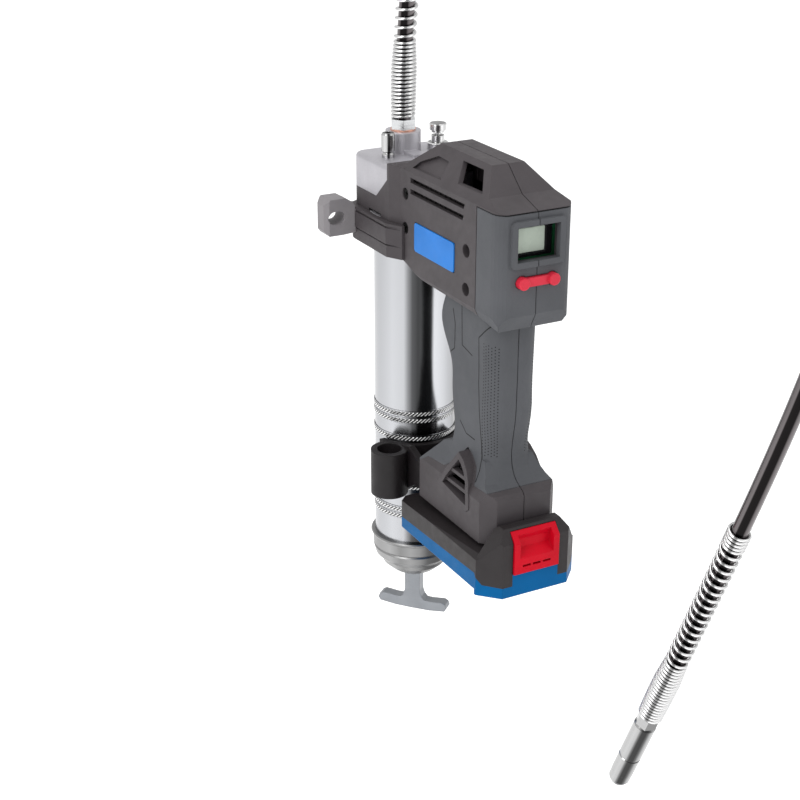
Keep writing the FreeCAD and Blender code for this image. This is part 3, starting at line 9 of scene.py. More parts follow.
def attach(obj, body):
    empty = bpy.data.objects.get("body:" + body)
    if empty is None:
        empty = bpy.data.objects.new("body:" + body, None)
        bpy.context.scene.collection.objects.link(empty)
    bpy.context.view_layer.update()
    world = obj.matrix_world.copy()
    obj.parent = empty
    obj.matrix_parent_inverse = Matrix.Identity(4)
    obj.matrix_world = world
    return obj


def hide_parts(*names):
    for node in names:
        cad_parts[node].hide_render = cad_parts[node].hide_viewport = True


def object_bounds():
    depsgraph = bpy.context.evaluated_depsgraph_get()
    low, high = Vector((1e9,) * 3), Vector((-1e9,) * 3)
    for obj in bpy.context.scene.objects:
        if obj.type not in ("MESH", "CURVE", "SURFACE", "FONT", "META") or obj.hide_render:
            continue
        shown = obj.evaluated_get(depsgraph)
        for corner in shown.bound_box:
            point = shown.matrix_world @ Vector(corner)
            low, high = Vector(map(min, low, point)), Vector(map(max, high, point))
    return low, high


# Battery grease gun in metres, +Z up, barrel in front (+Y), display at the back (-Y).
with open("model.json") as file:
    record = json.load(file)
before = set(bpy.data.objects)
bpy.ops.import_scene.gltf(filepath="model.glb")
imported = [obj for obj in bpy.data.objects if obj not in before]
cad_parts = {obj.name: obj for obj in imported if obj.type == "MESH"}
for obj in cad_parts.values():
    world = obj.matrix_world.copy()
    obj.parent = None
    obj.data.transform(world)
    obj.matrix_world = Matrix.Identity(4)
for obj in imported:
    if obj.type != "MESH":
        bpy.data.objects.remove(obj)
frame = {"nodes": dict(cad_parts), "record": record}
cad_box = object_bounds()


def placed(name, data):
    """A new object that shows this data, linked to the scene."""
    thing = bpy.data.objects.new(name, data)
    bpy.context.scene.collection.objects.link(thing)
    return thing


# ---------------------------------------------------------------- camera
CAMERA_AT = Vector((-0.5148, -0.8420, 0.4058))
CAMERA_BACK = Vector((-0.4312, -0.8146, 0.3878))
FOCAL_LENGTH = 74.02
FRAME_WIDTH = 36.0
NEAREST_SEEN = 0.01
FARTHEST_SEEN = 30.0


def make_camera():
    data = bpy.data.cameras.new("camera")
    data.lens = FOCAL_LENGTH
    data.sensor_width = FRAME_WIDTH
    data.clip_start = NEAREST_SEEN
    data.clip_end = FARTHEST_SEEN
    camera = placed("camera", data)
    camera.location = CAMERA_AT
    camera.rotation_euler = CAMERA_BACK.to_track_quat("Z", "Y").to_euler()
    bpy.context.scene.camera = camera


make_camera()

# ---------------------------------------------------------------- materials
BEVEL_SAMPLES = 4
# Most of a noise texture's values lie between these two.
NOISE_LOW = 0.3
NOISE_HIGH = 0.7


class Nodes:
    """Builds one procedural material: a Principled shader and the textures that feed it."""

    def __init__(self, name, **constants):
        self.material = bpy.data.materials.new(name)
        self.material.use_nodes = True
        self.tree = self.material.node_tree
        self.shader = self.tree.nodes["Principled BSDF"]
        for socket, value in constants.items():
            self.shader.inputs[socket.replace("_", " ")].default_value = value
        self.place = self.add("ShaderNodeTexCoord").outputs["Object"]
        self.normal = None

    def add(self, kind, links=None, **settings):
        node = self.tree.nodes.new(kind)
        for name, value in settings.items():
            setattr(node, name, value)
        for name, source in (links or {}).items():
            if isinstance(source, bpy.types.NodeSocket):
                self.tree.links.new(source, node.inputs[name])
            else:
                node.inputs[name].default_value = source
        return node

    def stretched(self, x, y, z):
        """The object's coordinates, scaled along each axis."""
        return self.add("ShaderNodeMapping", {"Vector": self.place, "Scale": (x, y, z)}).outputs["Vector"]

    def noise(self, scale, detail=3.0, place=None):
        links = {"Vector": place or self.place, "Scale": scale, "Detail": detail}
        return self.add("ShaderNodeTexNoise", links).outputs["Fac"]

    def ramp(self, source, stops):
        """A colour or grey ramp: stops are (position, colour)."""
        node = self.add("ShaderNodeValToRGB", {"Fac": source})
        elements = node.color_ramp.elements
        while len(elements) < len(stops):
            elements.new(0.5)
        for element, (position, value) in zip(elements, stops):
            element.position = position
            element.color = value if len(value) == 4 else (*value, 1.0)
        return node.outputs["Color"]

    def remap(self, source, low, high):
        """Spreads a noise texture's values from low to high."""
        links = {"Value": source, "From Min": NOISE_LOW, "From Max": NOISE_HIGH,
                 "To Min": low, "To Max": high}
        return self.add("ShaderNodeMapRange", links).outputs["Result"]

    def colour(self, source):
        self.tree.links.new(source, self.shader.inputs["Base Color"])

    def roughness(self, source):
        self.tree.links.new(source, self.shader.inputs["Roughness"])

    def soften_edges(self, radius):
        """Rounds the look of the edges by a small radius."""
        self.normal = self.add("ShaderNodeBevel", {"Radius": radius}, samples=BEVEL_SAMPLES).outputs["Normal"]

    def bump(self, height, depth, strength=1.0):
        links = {"Height": height, "Distance": depth, "Strength": strength}
        if self.normal:
            links["Normal"] = self.normal
        self.normal = self.add("ShaderNodeBump", links).outputs["Normal"]

    def done(self):
        if self.normal:
            self.tree.links.new(self.normal, self.shader.inputs["Normal"])
        return self.material


def shade(colour, factor):
    return tuple(min(1.0, channel * factor) for channel in colour[:3])


def moulded(name, colour, rough, grain=2600.0, depth=0.00006, edge=0.0007, specular=0.3):
    """Moulded plastic: fine spark-eroded grain, faint cloudiness, softened edges."""
    nodes = Nodes(name, Specular_IOR_Level=specular)
    clouds = nodes.noise(38.0, 4.0)
    nodes.colour(nodes.ramp(clouds, [(0.3, shade(colour, 0.9)), (0.7, shade(colour, 1.1))]))
    nodes.roughness(nodes.remap(nodes.noise(160.0, 3.0), rough - 0.05, rough + 0.06))
    nodes.soften_edges(edge)
    nodes.bump(nodes.noise(grain, 2.0), depth, 0.6)
    return nodes.done()


def soft_rubber(name, colour, rough, depth=0.00008):
    """Matt elastomer: dull, faintly clouded, with a fine leathery grain."""
    nodes = Nodes(name, Specular_IOR_Level=0.3)
    clouds = nodes.noise(24.0, 5.0)
    nodes.colour(nodes.ramp(clouds, [(0.25, shade(colour, 0.88)), (0.75, shade(colour, 1.12))]))
    nodes.roughness(nodes.remap(nodes.noise(120.0), rough - 0.04, rough + 0.05))
    nodes.soften_edges(0.0009)
    cells = nodes.add("ShaderNodeTexVoronoi", {"Vector": nodes.place, "Scale": 1500.0}).outputs["Distance"]
    nodes.bump(cells, depth, 0.45)
    return nodes.done()


def plated(name, colour, rough, edge=0.0004):
    """Plated or turned metal: faint streaks, clouded finish, softened edges."""
    nodes = Nodes(name, Metallic=1.0)
    lines = nodes.noise(1.0, 2.0, nodes.stretched(40.0, 40.0, 900.0))
    clouds = nodes.noise(55.0, 5.0)
    nodes.colour(nodes.ramp(clouds, [(0.3, shade(colour, 0.9)), (0.7, shade(colour, 1.06))]))
    nodes.roughness(nodes.remap(lines, rough - 0.05, rough + 0.05))
    nodes.soften_edges(edge)
    nodes.bump(lines, 0.00002, 0.4)
    return nodes.done()


def cast_metal(name, colour, rough):
    """Sand-blasted casting: dull, pitted and faintly clouded."""
    nodes = Nodes(name, Metallic=0.75)
    pits = nodes.noise(900.0, 4.0)
    clouds = nodes.noise(45.0, 5.0)
    nodes.colour(nodes.ramp(clouds, [(0.3, shade(colour, 0.9)), (0.7, shade(colour, 1.08))]))
    nodes.roughness(nodes.remap(pits, rough - 0.08, rough + 0.08))
    nodes.soften_edges(0.001)
    nodes.bump(pits, 0.00025, 0.55)
    return nodes.done()


def banded(name, stops, rough, direction=None):
    """Smooth bright surface whose colour is painted reflection: its tone runs through light and dark bands
    round it.
    """
    nodes = Nodes(name, Metallic=1.0)
    outward = nodes.add("ShaderNodeTexCoord").outputs["Normal"]
    across = nodes.add("ShaderNodeVectorMath", {0: outward, 1: direction or BAND_DIRECTION},
                       operation="DOT_PRODUCT").outputs["Value"]
    share = nodes.add("ShaderNodeMapRange", {"Value": across, "From Min": -1.0, "From Max": 1.0})
    nodes.colour(nodes.ramp(share.outputs["Result"], stops))
    lines = nodes.noise(1.0, 2.0, nodes.stretched(60.0, 60.0, 6.0))
    nodes.roughness(nodes.remap(lines, rough - 0.04, rough + 0.04))
    nodes.soften_edges(0.0003)
    nodes.bump(lines, 0.00001, 0.3)
    return nodes.done()


def knurled(name, axis_y, valley, crest):
    """Zinc knurl with painted shade in the grooves and a painted highlight on the crests: dark at the groove
    radius, bright at the crest radius.
    """
    nodes = Nodes(name, Metallic=1.0)
    centred = nodes.add("ShaderNodeVectorMath", {0: nodes.place, 1: (0.0, -axis_y, 0.0)},
                        operation="ADD").outputs["Vector"]
    flat = nodes.add("ShaderNodeVectorMath", {0: centred, 1: (1.0, 1.0, 0.0)},
                     operation="MULTIPLY").outputs["Vector"]
    radius = nodes.add("ShaderNodeVectorMath", {0: flat}, operation="LENGTH").outputs["Value"]
    share = nodes.add("ShaderNodeMapRange", {"Value": radius, "From Min": valley, "From Max": crest})
    stops = [(0.1, grey(0.02)), (0.4, grey(0.16)), (0.7, grey(0.90))]
    nodes.colour(nodes.ramp(share.outputs["Result"], stops))
    nodes.roughness(nodes.remap(nodes.noise(300.0), 0.25, 0.35))
    return nodes.done()


def grey(level, tint=(1.0, 1.0, 1.0)):
    return tuple(level * channel for channel in tint)


# The bands stand for the reflections of a studio. They are fixed to the piece, in its own
# coordinates, and change in this direction, which lies across the main view.
BAND_DIRECTION = (0.8838, -0.4678, 0.0)
# The painted reflection bands' direction for the slanted free end of the hose.
END_DIRECTION = (0.604, -0.7306, -0.3183)
COOL = (0.975, 0.99, 1.03)
BARREL_BANDS = [
    (0.0, grey(0.40, COOL)), (0.22, grey(0.50, COOL)), (0.36, grey(0.44, COOL)), (0.41, grey(0.22, COOL)),
    (0.46, grey(0.08, COOL)), (0.53, grey(0.045, COOL)), (0.62, grey(0.07, COOL)), (0.69, grey(0.10, COOL)),
    (0.725, grey(0.62, COOL)), (0.85, grey(0.50, COOL)), (0.93, grey(0.38, COOL)), (1.0, grey(0.14, COOL)),
]
CAP_BANDS = [
    (0.0, grey(0.26)), (0.2, grey(0.34)), (0.33, grey(0.22)), (0.45, grey(0.28)), (0.56, grey(0.21)),
    (0.66, grey(0.09)), (0.78, grey(0.06)), (0.9, grey(0.09)), (1.0, grey(0.16)),
]
COUPLER_BANDS = [
    (0.0, grey(0.36)), (0.10, grey(0.40)), (0.25, grey(0.46)), (0.40, grey(0.40)), (0.47, grey(0.17)),
    (0.54, grey(0.05)), (0.72, grey(0.04)), (0.80, grey(0.10)), (0.88, grey(0.30)), (1.0, grey(0.42)),
]
STUB_BANDS = [
    (0.0, grey(0.42)), (0.25, grey(0.62)), (0.42, grey(0.5)), (0.5, grey(0.04)), (0.6, grey(0.05)),
    (0.68, grey(0.6)), (0.85, grey(0.5)), (1.0, grey(0.12)),
]
WIRE_BANDS = [
    (0.0, grey(0.70)), (0.12, grey(0.62)), (0.25, grey(0.90)), (0.36, grey(0.85)), (0.42, grey(0.30)),
    (0.52, grey(0.22)), (0.58, grey(0.82)), (0.75, grey(0.80)), (0.86, grey(0.55)), (1.0, grey(0.75)),
]
SHEEN = (1.06, 0.96, 0.98)
HOSE_BANDS = [
    (0.0, grey(0.09, SHEEN)), (0.10, grey(0.12, SHEEN)), (0.30, grey(0.14, SHEEN)),
    (0.37, grey(0.012, SHEEN)), (0.74, grey(0.010, SHEEN)), (0.82, grey(0.12, SHEEN)),
    (1.0, grey(0.16, SHEEN)),
]

HOUSING = (0.054, 0.047, 0.0507)
OVERMOULD = (0.076, 0.079, 0.087)
EYE_GREY = (0.215, 0.203, 0.212)
BLACK = (0.0095, 0.0075, 0.0085)
BLUE = (0.006, 0.165, 0.55)
PACK_BLUE = (0.0, 0.095, 0.27)
PACK_BLACK = (0.020, 0.0165, 0.0175)
RED = (0.52, 0.002, 0.014)
BUTTON_RED = (0.56, 0.018, 0.042)
ZINC = (0.25, 0.262, 0.28)
DISPLAY_BLACK = (0.006, 0.006, 0.007)

BARREL_AXIS_Y = 0.108
BARREL_RADIUS = 0.0285
# Above the barrel: a knurled band, the knurl's grooves, and its crests above the grooves.
# The grooves lie just under the band, and the crests clear the bracket's bore.
BAND_RISE = 0.0004
KNURL_GROOVE = 0.00037
KNURL_DEPTH = 0.0004

finishes = {
    "hard_plastic": moulded("hard_plastic", HOUSING, 0.55),
    "soft_grip": soft_rubber("soft_grip", OVERMOULD, 0.66),
    "cast_head": cast_metal("cast_head", (0.50, 0.49, 0.52), 0.45),
    "eye_plastic": moulded("eye_plastic", EYE_GREY, 0.55),
    "black_plastic": moulded("black_plastic", BLACK, 0.5),
    "copper": plated("copper", (0.80, 0.45, 0.34), 0.3),
    # Painted reflection: light and dark bands in the bright zinc wire's colour.
    "zinc_bright": banded("zinc_bright", WIRE_BANDS, 0.24),
    "zinc_satin": plated("zinc_satin", ZINC, 0.38),
    # Painted reflection: light and dark bands in the barrel's colour.
    "barrel_chrome": banded("barrel_chrome", BARREL_BANDS, 0.2),
    "spring_steel": plated("spring_steel", (0.6, 0.6, 0.61), 0.28),
    "steel": plated("steel", (0.5, 0.5, 0.52), 0.35),
    "badge_blue": moulded("badge_blue", BLUE, 0.36, 1800.0, 0.00002, 0.0004, 0.2),
    "button_red": soft_rubber("button_red", BUTTON_RED, 0.45, 0.00003),
    "display": moulded("display", DISPLAY_BLACK, 0.22, 900.0, 0.00001, 0.0003),
    "board_green": moulded("board_green", (0.02, 0.16, 0.06), 0.4),
    "motor_steel": plated("motor_steel", (0.35, 0.35, 0.37), 0.4),
    "gearbox_alloy": cast_metal("gearbox_alloy", (0.5, 0.5, 0.52), 0.45),
    "pack_black": moulded("pack_black", PACK_BLACK, 0.5),
    "pack_blue": moulded("pack_blue", PACK_BLUE, 0.42, specular=0.07),
    "latch_red": moulded("latch_red", RED, 0.36, 2200.0, 0.00003, 0.0006, 0.1),
    "cell_wrap": moulded("cell_wrap", (0.08, 0.3, 0.26), 0.3),
    "contact_brass": plated("contact_brass", (0.8, 0.62, 0.3), 0.3),
    # Painted reflection: light and dark bands in the hose's colour.
    "hose_black": banded("hose_black", HOSE_BANDS, 0.26, END_DIRECTION),
    "nitrile": soft_rubber("nitrile", (0.02, 0.02, 0.02), 0.6),
}
# Finishes of single pieces that differ from the rest of their slot. The groove one is painted shadow, the
# knurl one painted shade and highlight, and the coupler and end guard ones painted reflection bands.
GROOVE_PAINTED_SHADOW = soft_rubber("groove_shadow", (0.012, 0.012, 0.013), 0.8, 0.00003)
GLASS_FINISH = moulded("liquid_crystal", (0.46, 0.53, 0.45), 0.25, 700.0, 0.00001, 0.0003)
# Painted shade in the knurl's grooves and painted highlight on its crests.
KNURL_PAINTED_SHADE_AND_HIGHLIGHT = knurled("knurl_zinc_painted_shade_and_highlight", BARREL_AXIS_Y, BARREL_RADIUS + BAND_RISE,
                       BARREL_RADIUS + KNURL_GROOVE + KNURL_DEPTH)
# The coupler and the end guard carry painted reflection bands.
COUPLER_PAINTED_REFLECTION = banded("coupler_chrome_painted_reflection", COUPLER_BANDS, 0.22, END_DIRECTION)
END_GUARD_PAINTED_REFLECTION = banded("end_wire_zinc_painted_reflection", WIRE_BANDS, 0.24, END_DIRECTION)
PARTICULAR = {
    # The end cap and the filler nipple are banded: their colour is painted reflection.
    "end_cap": banded("cap_zinc_painted_reflection", CAP_BANDS, 0.34),
    "pull_handle": plated("handle_cast_zinc", ZINC, 0.36, edge=0.0016),
    # The screws' near-black, non-metal colour is partly their own dark colour and partly painted shade of the
    # deep boss holes they sit in.
    "housing_screws": moulded("screw_dark_and_painted_hole_shade", (0.004, 0.004, 0.004), 0.6, specular=0.15),
    "filler_nipple": banded("stub_chrome_painted_reflection", STUB_BANDS, 0.16),
    "hose_adapter": plated("adapter_zinc", (0.68, 0.69, 0.70), 0.24),
    "coupler_hex": COUPLER_PAINTED_REFLECTION,
    "grease_coupler": COUPLER_PAINTED_REFLECTION,
    "coupler_nose": COUPLER_PAINTED_REFLECTION,
}


def dress(piece, slot_name, body="handle", material=None):
    """Gives a piece its material, the slot's finish unless another is given, and the body it rides on."""
    piece.data.materials.clear()
    piece.data.materials.append(material or finishes[slot_name])
    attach(piece, body)


def finish_cad_nodes():
    """Every CAD node that stays gets the procedural material of its slot."""
    for entry in frame["record"]["subparts"]:
        node = frame["nodes"][entry["node"]]
        for place in node.material_slots:
            place.material = PARTICULAR.get(entry["node"], finishes[entry["material_slot"]])


finish_cad_nodes()

# ---------------------------------------------------------------- hose
# The route's points in its own upright plane: outwards from the port and up from the port's top.
HOSE_ROUTE = [
    (0.0, 0.008),
    (0.0005, 0.062),
    (0.010, 0.124),
    (0.038, 0.186),
    (0.092, 0.240),
    (0.168, 0.268),
    (0.248, 0.258),
    (0.315, 0.212),
    (0.357, 0.140),
    (0.371, 0.058),
    (0.366, -0.026),
    (0.341, -0.108),
    (0.299, -0.224),
    (0.2573, -0.332),
]
HOSE_PLANE = math.radians(-80.0)
PORT_Y = 0.126
PORT_TOP = 0.143
HOSE_RADIUS = 0.0053


def hose_point(out, up):
    return Vector((out * math.cos(HOSE_PLANE), PORT_Y + out * math.sin(HOSE_PLANE), PORT_TOP + up))


def curve_object(name, points, radius, kind, resolution):
    """A round bar along points; a NURBS line takes them as its control points."""
    data = bpy.data.curves.new(name, "CURVE")
    data.dimensions = "3D"
    data.bevel_depth = 1.0
    data.bevel_resolution = resolution
    data.use_fill_caps = True
    spline = data.splines.new(kind)
    spline.points.add(len(points) - 1)
    for place, point in zip(spline.points, points):
        place.co = (*point, 1.0)
        place.radius = radius
    if kind == "NURBS":
        spline.order_u = 3
        spline.use_endpoint_u = True
        spline.resolution_u = 24
    return placed(name, data)


def centreline(curve):
    """Points along a curve object's own line, as a mesh without its bevel gives them."""
    thickness = curve.data.bevel_depth
    curve.data.bevel_depth = 0.0
    line = bpy.data.meshes.new_from_object(curve)
    curve.data.bevel_depth = thickness
    points = [vertex.co.copy() for vertex in line.vertices]
    bpy.data.meshes.remove(line)
    return points


class Route:
    """A polyline that gives a point and a frame at any distance along it."""

    def __init__(self, points):
        self.points = points
        self.distances = [0.0]
        for a, b in zip(points, points[1:]):
            self.distances.append(self.distances[-1] + (b - a).length)
        self.length = self.distances[-1]
        self.frames = []
        along = (points[1] - points[0]).normalized()
        side = along.orthogonal().normalized()
        for number, point in enumerate(points):
            after = points[min(number + 1, len(points) - 1)]
            before = points[max(number - 1, 0)]
            along = (after - before).normalized()
            side = (side - along * side.dot(along)).normalized()
            self.frames.append((side, along.cross(side), along))

    def at(self, distance):
        """Centre, and the two directions across the line."""
        distance = min(max(distance, 0.0), self.length)
        number = 1
        while number < len(self.points) - 1 and self.distances[number] < distance:
            number += 1
        span = self.distances[number] - self.distances[number - 1]
        share = (distance - self.distances[number - 1]) / span
        centre = self.points[number - 1].lerp(self.points[number], share)
        side = self.frames[number - 1][0].lerp(self.frames[number][0], share).normalized()
        other = self.frames[number - 1][1].lerp(self.frames[number][1], share).normalized()
        return centre, side, other


COIL_STEPS = 26


def coil_points(route, start, sign, sections):
    """Points of a coil round the route. Each section is (turns, pitch, first radius, last radius)."""
    points, along, turn = [], 0.0, 0.0
    for turns, pitch, first, last in sections:
        count = turns * COIL_STEPS
        for step in range(count):
            share = step / count
            radius = first + (last - first) * share
            centre, side, other = route.at(start + sign * along)
            angle = 2 * math.pi * turn
            points.append(centre + side * radius * math.cos(angle) + other * radius * math.sin(angle))
            along += pitch / COIL_STEPS
            turn += 1.0 / COIL_STEPS
    return points


WIRE_RADIUS = 0.00105
CLOSE_PITCH = 0.0026
OPEN_PITCH = 0.0060
CRIMP_COIL = 0.0074
SWELL_COIL = 0.0078
NARROW_COIL = 0.0066
# Distance between a guard's first turn and the end of the hose.
GUARD_INSET = 0.001
GUARD_SECTIONS = [
    (7, CLOSE_PITCH, CRIMP_COIL, SWELL_COIL),
    (6, CLOSE_PITCH, SWELL_COIL, SWELL_COIL),
    (7, CLOSE_PITCH, SWELL_COIL, NARROW_COIL),
    (17, OPEN_PITCH, NARROW_COIL, NARROW_COIL),
    (5, CLOSE_PITCH, NARROW_COIL, NARROW_COIL),
]


def make_hose():
    hose = curve_object("hose", [hose_point(*spot) for spot in HOSE_ROUTE], HOSE_RADIUS, "NURBS", 6)
    dress(hose, "hose_black")
    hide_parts("hose_tube")
    route = Route(centreline(hose))
    for name, start, sign, node, finish in (
            ("port_guard", GUARD_INSET, 1, "port_spring_guard", finishes["zinc_bright"]),
            ("end_guard", route.length - GUARD_INSET, -1, "end_spring_guard", END_GUARD_PAINTED_REFLECTION)):
        guard = curve_object(name, coil_points(route, start, sign, GUARD_SECTIONS), WIRE_RADIUS, "POLY", 2)
        dress(guard, "zinc_bright", material=finish)
        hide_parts(node)


make_hose()


# ---------------------------------------------------------------- surface details
def mesh_piece(name, points, faces, slot_name, body="handle", material=None):
    data = bpy.data.meshes.new(name)
    data.from_pydata([tuple(point) for point in points], [], faces)
    data.update()
    dress(placed(name, data), slot_name, body, material)


def prism_parts(outline, low, high):
    """Points and faces of a (Y, Z) outline extruded along X."""
    count = len(outline)
    points = [Vector((x, y, z)) for x in (low, high) for y, z in outline]
    faces = [tuple(range(count))[::-1], tuple(range(count, 2 * count))]
    for number in range(count):
        other = (number + 1) % count
        faces.append((number, other, count + other, count + number))
    return points, faces


def joined(parts):
    points, faces = [], []
    for more_points, more_faces in parts:
        start = len(points)
        points += more_points
        faces += [tuple(start + corner for corner in face) for face in more_faces]
    return points, faces


def surface_of(node_name):
    """A ray tree of one CAD node, in the frame."""
    node = frame["nodes"][node_name]
    points = [node.matrix_world @ vertex.co for vertex in node.data.vertices]
    return BVHTree.FromPolygons(points, [list(face.vertices) for face in node.data.polygons])


# The underside of each knurled band.
KNURL_BANDS = (-0.0501, -0.0552, -0.0688, -0.1068, -0.1246, -0.1297)
BAND_HEIGHT = 0.0046
KNURL_COLUMNS = 132
KNURL_ROWS = 3


def make_knurls():
    """Diamond knurling: a ring of small pyramids in each band."""
    parts = []
    for low in KNURL_BANDS:
        points, faces = [], []
        for row in range(KNURL_ROWS + 2):
            edge = row in (0, KNURL_ROWS + 1)
            z = low + BAND_HEIGHT * row / (KNURL_ROWS + 1)
            for column in range(KNURL_COLUMNS):
                turn = 2 * math.pi * column / KNURL_COLUMNS
                peak = 0.0 if edge else KNURL_DEPTH * ((row + column) % 2)
                radius = BARREL_RADIUS + (0.0 if edge else KNURL_GROOVE) + peak
                points.append((radius * math.cos(turn), BARREL_AXIS_Y + radius * math.sin(turn), z))
        for row in range(KNURL_ROWS + 1):
            for column in range(KNURL_COLUMNS):
                after = (column + 1) % KNURL_COLUMNS
                base, above = row * KNURL_COLUMNS, (row + 1) * KNURL_COLUMNS
                faces.append((base + column, base + after, above + after, above + column))
        parts.append((points, faces))
    mesh_piece("knurls", *joined(parts), "barrel_chrome", "barrel", KNURL_PAINTED_SHADE_AND_HIGHLIGHT)


make_knurls()

# Outlines as (Y, Z).
VENT_SCREEN = [(-0.008, 0.1135), (0.0675, 0.1135), (0.0675, 0.129), (-0.008, 0.129)]
RIDGE_CORE = [(-0.0225, 0.134), (-0.0095, 0.1462), (0.025, 0.1462), (0.025, 0.134)]
# Distances from the middle plane: a screen's two faces, and the tops of its ribs.
SCREEN_BACK, SCREEN_FRONT, SCREEN_RIB_TOP = 0.0222, 0.0230, 0.0237
RIDGE_HALF, RIDGE_RIB_TOP = 0.004, 0.0048


def ribs(count, first_y, pitch, width, low_z, high_z, near, far):
    """Upright ribs in a row along Y, between two heights and two distances along X."""
    parts = []
    for rib in range(count):
        y = first_y + pitch * rib
        outline = [(y, low_z), (y + width, low_z), (y + width, high_z), (y, high_z)]
        parts.append(prism_parts(outline, near, far))
    return parts


def make_screens():
    """Dark ribbed screens behind the vents, and the ribbed wall inside the carrying window."""
    for side, name in ((-1, "left"), (1, "right")):
        parts = [prism_parts(VENT_SCREEN, side * SCREEN_BACK, side * SCREEN_FRONT)]
        parts += ribs(12, -0.005, 0.0062, 0.0008, 0.114, 0.1285, side * SCREEN_FRONT, side * SCREEN_RIB_TOP)
        mesh_piece("vent_screen_" + name, *joined(parts), "black_plastic")
    parts = [prism_parts(RIDGE_CORE, -RIDGE_HALF, RIDGE_HALF)]
    parts += ribs(6, -0.012, 0.006, 0.001, 0.1345, 0.1452, -RIDGE_RIB_TOP, RIDGE_RIB_TOP)
    mesh_piece("window_wall", *joined(parts), "black_plastic")


make_screens()


ROUNDING_STEPS = 4


def rounded_loop(x, z, half_x, half_z, radius):
    """A rounded rectangle's points as (X, Z), anticlockwise."""
    loop = []
    for centre_x, centre_z, start in ((x + half_x - radius, z - half_z + radius, -90),
                                      (x + half_x - radius, z + half_z - radius, 0),
                                      (x - half_x + radius, z + half_z - radius, 90),
                                      (x - half_x + radius, z - half_z + radius, 180)):
        for step in range(ROUNDING_STEPS + 1):
            turn = math.radians(start + 90 * step / ROUNDING_STEPS)
            loop.append((centre_x + radius * math.cos(turn), centre_z + radius * math.sin(turn)))
    return loop


def lofted(loops):
    """Joins (Y, loop) rings of equal length and closes the first one."""
    count = len(loops[0][1])
    points = [Vector((x, y, z)) for y, loop in loops for x, z in loop]
    faces = [tuple(range(count))]
    for ring in range(len(loops) - 1):
        for number in range(count):
            other = (number + 1) % count
            base, above = ring * count, (ring + 1) * count
            faces.append((base + number, above + number, above + other, base + other))
    return points, faces


LCD_MIDDLE = (0.0, 0.1106)
LCD_HALF = (0.0097, 0.0078)
GLASS_FRONT = -0.0375
# The panel's and its frame's planes, all in front of the glass, which faces -Y.
PANEL_BACK, PANEL_EDGE, PANEL_FACE = GLASS_FRONT - 0.0001, GLASS_FRONT - 0.0007, GLASS_FRONT - 0.0009
FRAME_FACE = GLASS_FRONT - 0.0011


def make_display():
    """Pale liquid crystal panel with a stepped edge and its dark frame in the window."""
    x, z = LCD_MIDDLE
    half_x, half_z = LCD_HALF
    face = rounded_loop(x, z, half_x - 0.0004, half_z - 0.0004, 0.0006)
    edge = rounded_loop(x, z, half_x, half_z, 0.0009)
    panel = lofted([(PANEL_FACE, face), (PANEL_EDGE, edge), (PANEL_BACK, edge)])
    mesh_piece("liquid_crystal_panel", *panel, "display", material=GLASS_FINISH)
    outer = rounded_loop(x, z, half_x + 0.0016, half_z + 0.0014, 0.0012)
    inner = rounded_loop(x, z, half_x + 0.0003, half_z + 0.0003, 0.001)
    points, faces = lofted([(PANEL_BACK, outer), (FRAME_FACE, outer), (FRAME_FACE, inner),
                            (PANEL_BACK, inner)])
    mesh_piece("liquid_crystal_frame", points, faces[1:], "display")


make_display()

# Lines moulded into the side of the grip, along which painted groove shadow is laid: (Y, Z).
GRIP_LINES = [
    [(-0.0215, 0.0520), (-0.0085, 0.0405), (-0.0088, 0.0090), (-0.0145, -0.0350), (-0.0185, -0.0560)],
    [(0.0128, 0.0560), (0.0126, 0.0285), (-0.0004, 0.0254)],
    [(0.0135, -0.0244), (0.0054, -0.0306), (-0.0060, -0.0310)],
    [(0.0240, 0.0500), (0.0215, 0.0400), (0.0225, 0.0230), (0.0290, 0.0180)],
]
LINE_WIDTH = 0.0007
LINE_STEP = 0.0012
# How far a mark lies above the surface.
LIFT = 0.00006
# A ray towards the side of the grip starts this far out.
RAY_START = 0.06
DOT_RADIUS = 0.00043
DOT_SIDES = 8
DOT_PITCH = 0.00215
DOT_ROWS = 36
TOP_DOT = 0.0385
# The dots' columns are seen from this upright line, (X, Y), at these turns in degrees.
DOT_AXIS = (0.0050, -0.0152)
DOT_RAY_START = 0.03
DOT_TURNS = (178.0, 189.0, 200.0, 211.0, 222.0, 233.0)


def line_strip(tree, path, side):
    """A narrow strip that lies on the surface along a (Y, Z) path seen from the side."""
    points, faces = [], []
    for start, end in zip(path, path[1:]):
        start, end = Vector(start), Vector(end)
        across = Vector((start.y - end.y, end.x - start.x)).normalized() * LINE_WIDTH / 2
        steps = max(2, int((end - start).length / LINE_STEP))
        previous = None
        for step in range(steps + 1):
            spot = start.lerp(end, step / steps)
            pair = []
            for edge in (spot + across, spot - across):
                hit = tree.ray_cast(Vector((side * RAY_START, edge.x, edge.y)), Vector((-side, 0, 0)))
                if hit[0] is not None:
                    points.append(hit[0] + hit[1] * LIFT)
                    pair.append(len(points) - 1)
            if previous and len(pair) == 2:
                faces.append((previous[0], pair[0], pair[1], previous[1]))
            previous = pair if len(pair) == 2 else None
    return points, faces


def dimple_shadow_disc(place, normal):
    """A small dark round disc just above the surface: painted shadow in a dimple."""
    side = normal.cross(Vector((0, 0, 1))).normalized()
    up = side.cross(normal)
    points = []
    for number in range(DOT_SIDES):
        turn = 2 * math.pi * number / DOT_SIDES
        points.append(place + normal * LIFT + (side * math.cos(turn) + up * math.sin(turn)) * DOT_RADIUS)
    return points, [tuple(range(DOT_SIDES))]


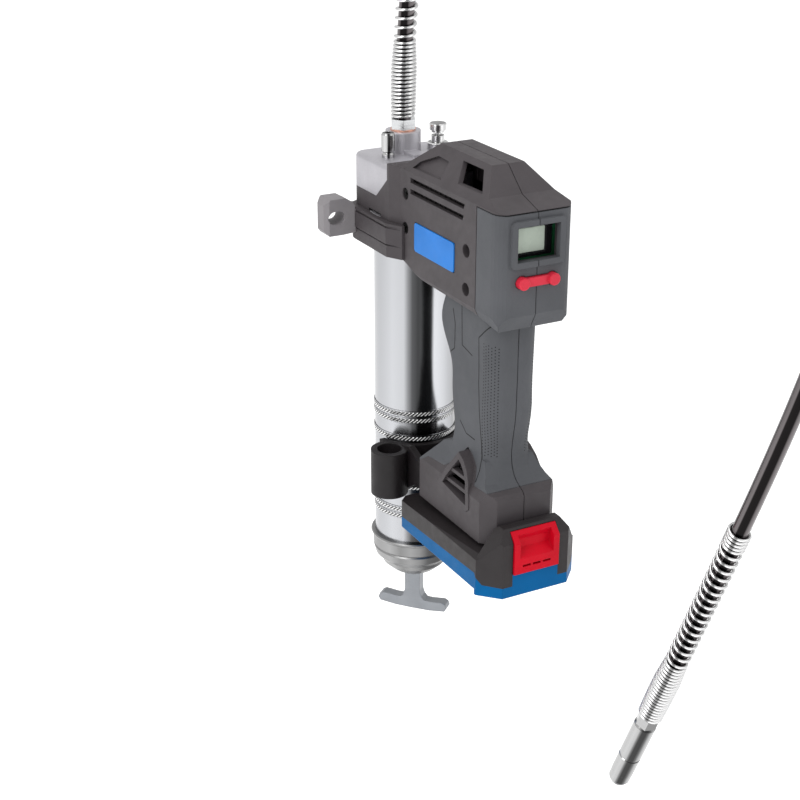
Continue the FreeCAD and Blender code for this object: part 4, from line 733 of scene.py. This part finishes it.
def make_grip_painted_shadows():
    """Painted shadow of the moulded lines and rows of dimples on both halves of the soft grip: dark strips
    and discs laid just above the surface.
    """
    for side, name in ((-1, "left"), (1, "right")):
        tree = surface_of("overmould_" + name)
        parts = [line_strip(tree, path, side) for path in GRIP_LINES]
        for column, turn in enumerate(DOT_TURNS):
            along = Vector((math.cos(math.radians(turn)) * -side, math.sin(math.radians(turn)), 0))
            middle = Vector((DOT_AXIS[0] * side, DOT_AXIS[1], 0))
            for row in range(DOT_ROWS):
                z = TOP_DOT - DOT_PITCH * (row + 0.5 * (column % 2))
                hit = tree.ray_cast(middle + along * DOT_RAY_START + Vector((0, 0, z)), -along)
                if hit[0] is not None:
                    parts.append(dimple_shadow_disc(hit[0], hit[1]))
        mesh_piece("grip_painted_shadow_" + name, *joined(parts), "soft_grip", material=GROOVE_PAINTED_SHADOW)


make_grip_painted_shadows()

# ---------------------------------------------------------------- studio
# The floor lies below the handle of a fully pulled rod.
FLOOR_DROP = 0.19
FLOOR_HALF = 40.0
FLOOR_GLOW = 0.42
WORLD_STRENGTH = 0.8


def area_light(name, place, size, power):
    """A soft light panel that faces the origin."""
    data = bpy.data.lights.new(name, "AREA")
    data.shape = "RECTANGLE"
    data.size, data.size_y = size
    data.energy = power
    lamp = placed(name, data)
    lamp.location = place
    lamp.rotation_euler = Vector(place).to_track_quat("Z", "Y").to_euler()


def make_studio():
    floor_z = cad_box[0][2] - FLOOR_DROP
    data = bpy.data.meshes.new("floor")
    corners = [(-FLOOR_HALF, -FLOOR_HALF), (FLOOR_HALF, -FLOOR_HALF), (FLOOR_HALF, FLOOR_HALF),
               (-FLOOR_HALF, FLOOR_HALF)]
    data.from_pydata([(x, y, floor_z) for x, y in corners], [], [(0, 1, 2, 3)])
    floor = placed("floor", data)
    nodes = Nodes("floor", Roughness=0.9, Specular_IOR_Level=0.1, Emission_Color=(1.0, 1.0, 1.0, 1.0),
                  Emission_Strength=FLOOR_GLOW)
    nodes.colour(nodes.ramp(nodes.noise(3.0), [(0.3, (0.86, 0.86, 0.86)), (0.7, (0.88, 0.88, 0.88))]))
    floor.data.materials.append(nodes.done())
    world = bpy.data.worlds.new("studio")
    bpy.context.scene.world = world
    world.use_nodes = True
    world.node_tree.nodes["Background"].inputs["Color"].default_value = (1.0, 1.0, 1.0, 1.0)
    world.node_tree.nodes["Background"].inputs["Strength"].default_value = WORLD_STRENGTH
    area_light("key", (-1.6, -0.6, 1.4), (0.9, 0.9), 16.0)
    area_light("fill", (1.3, -1.4, 0.8), (1.2, 1.6), 4.0)
    area_light("top", (0.1, 0.2, 2.0), (1.2, 1.2), 12.0)
    bpy.context.scene.view_settings.view_transform = "Standard"


make_studio()

bpy.context.view_layer.update()
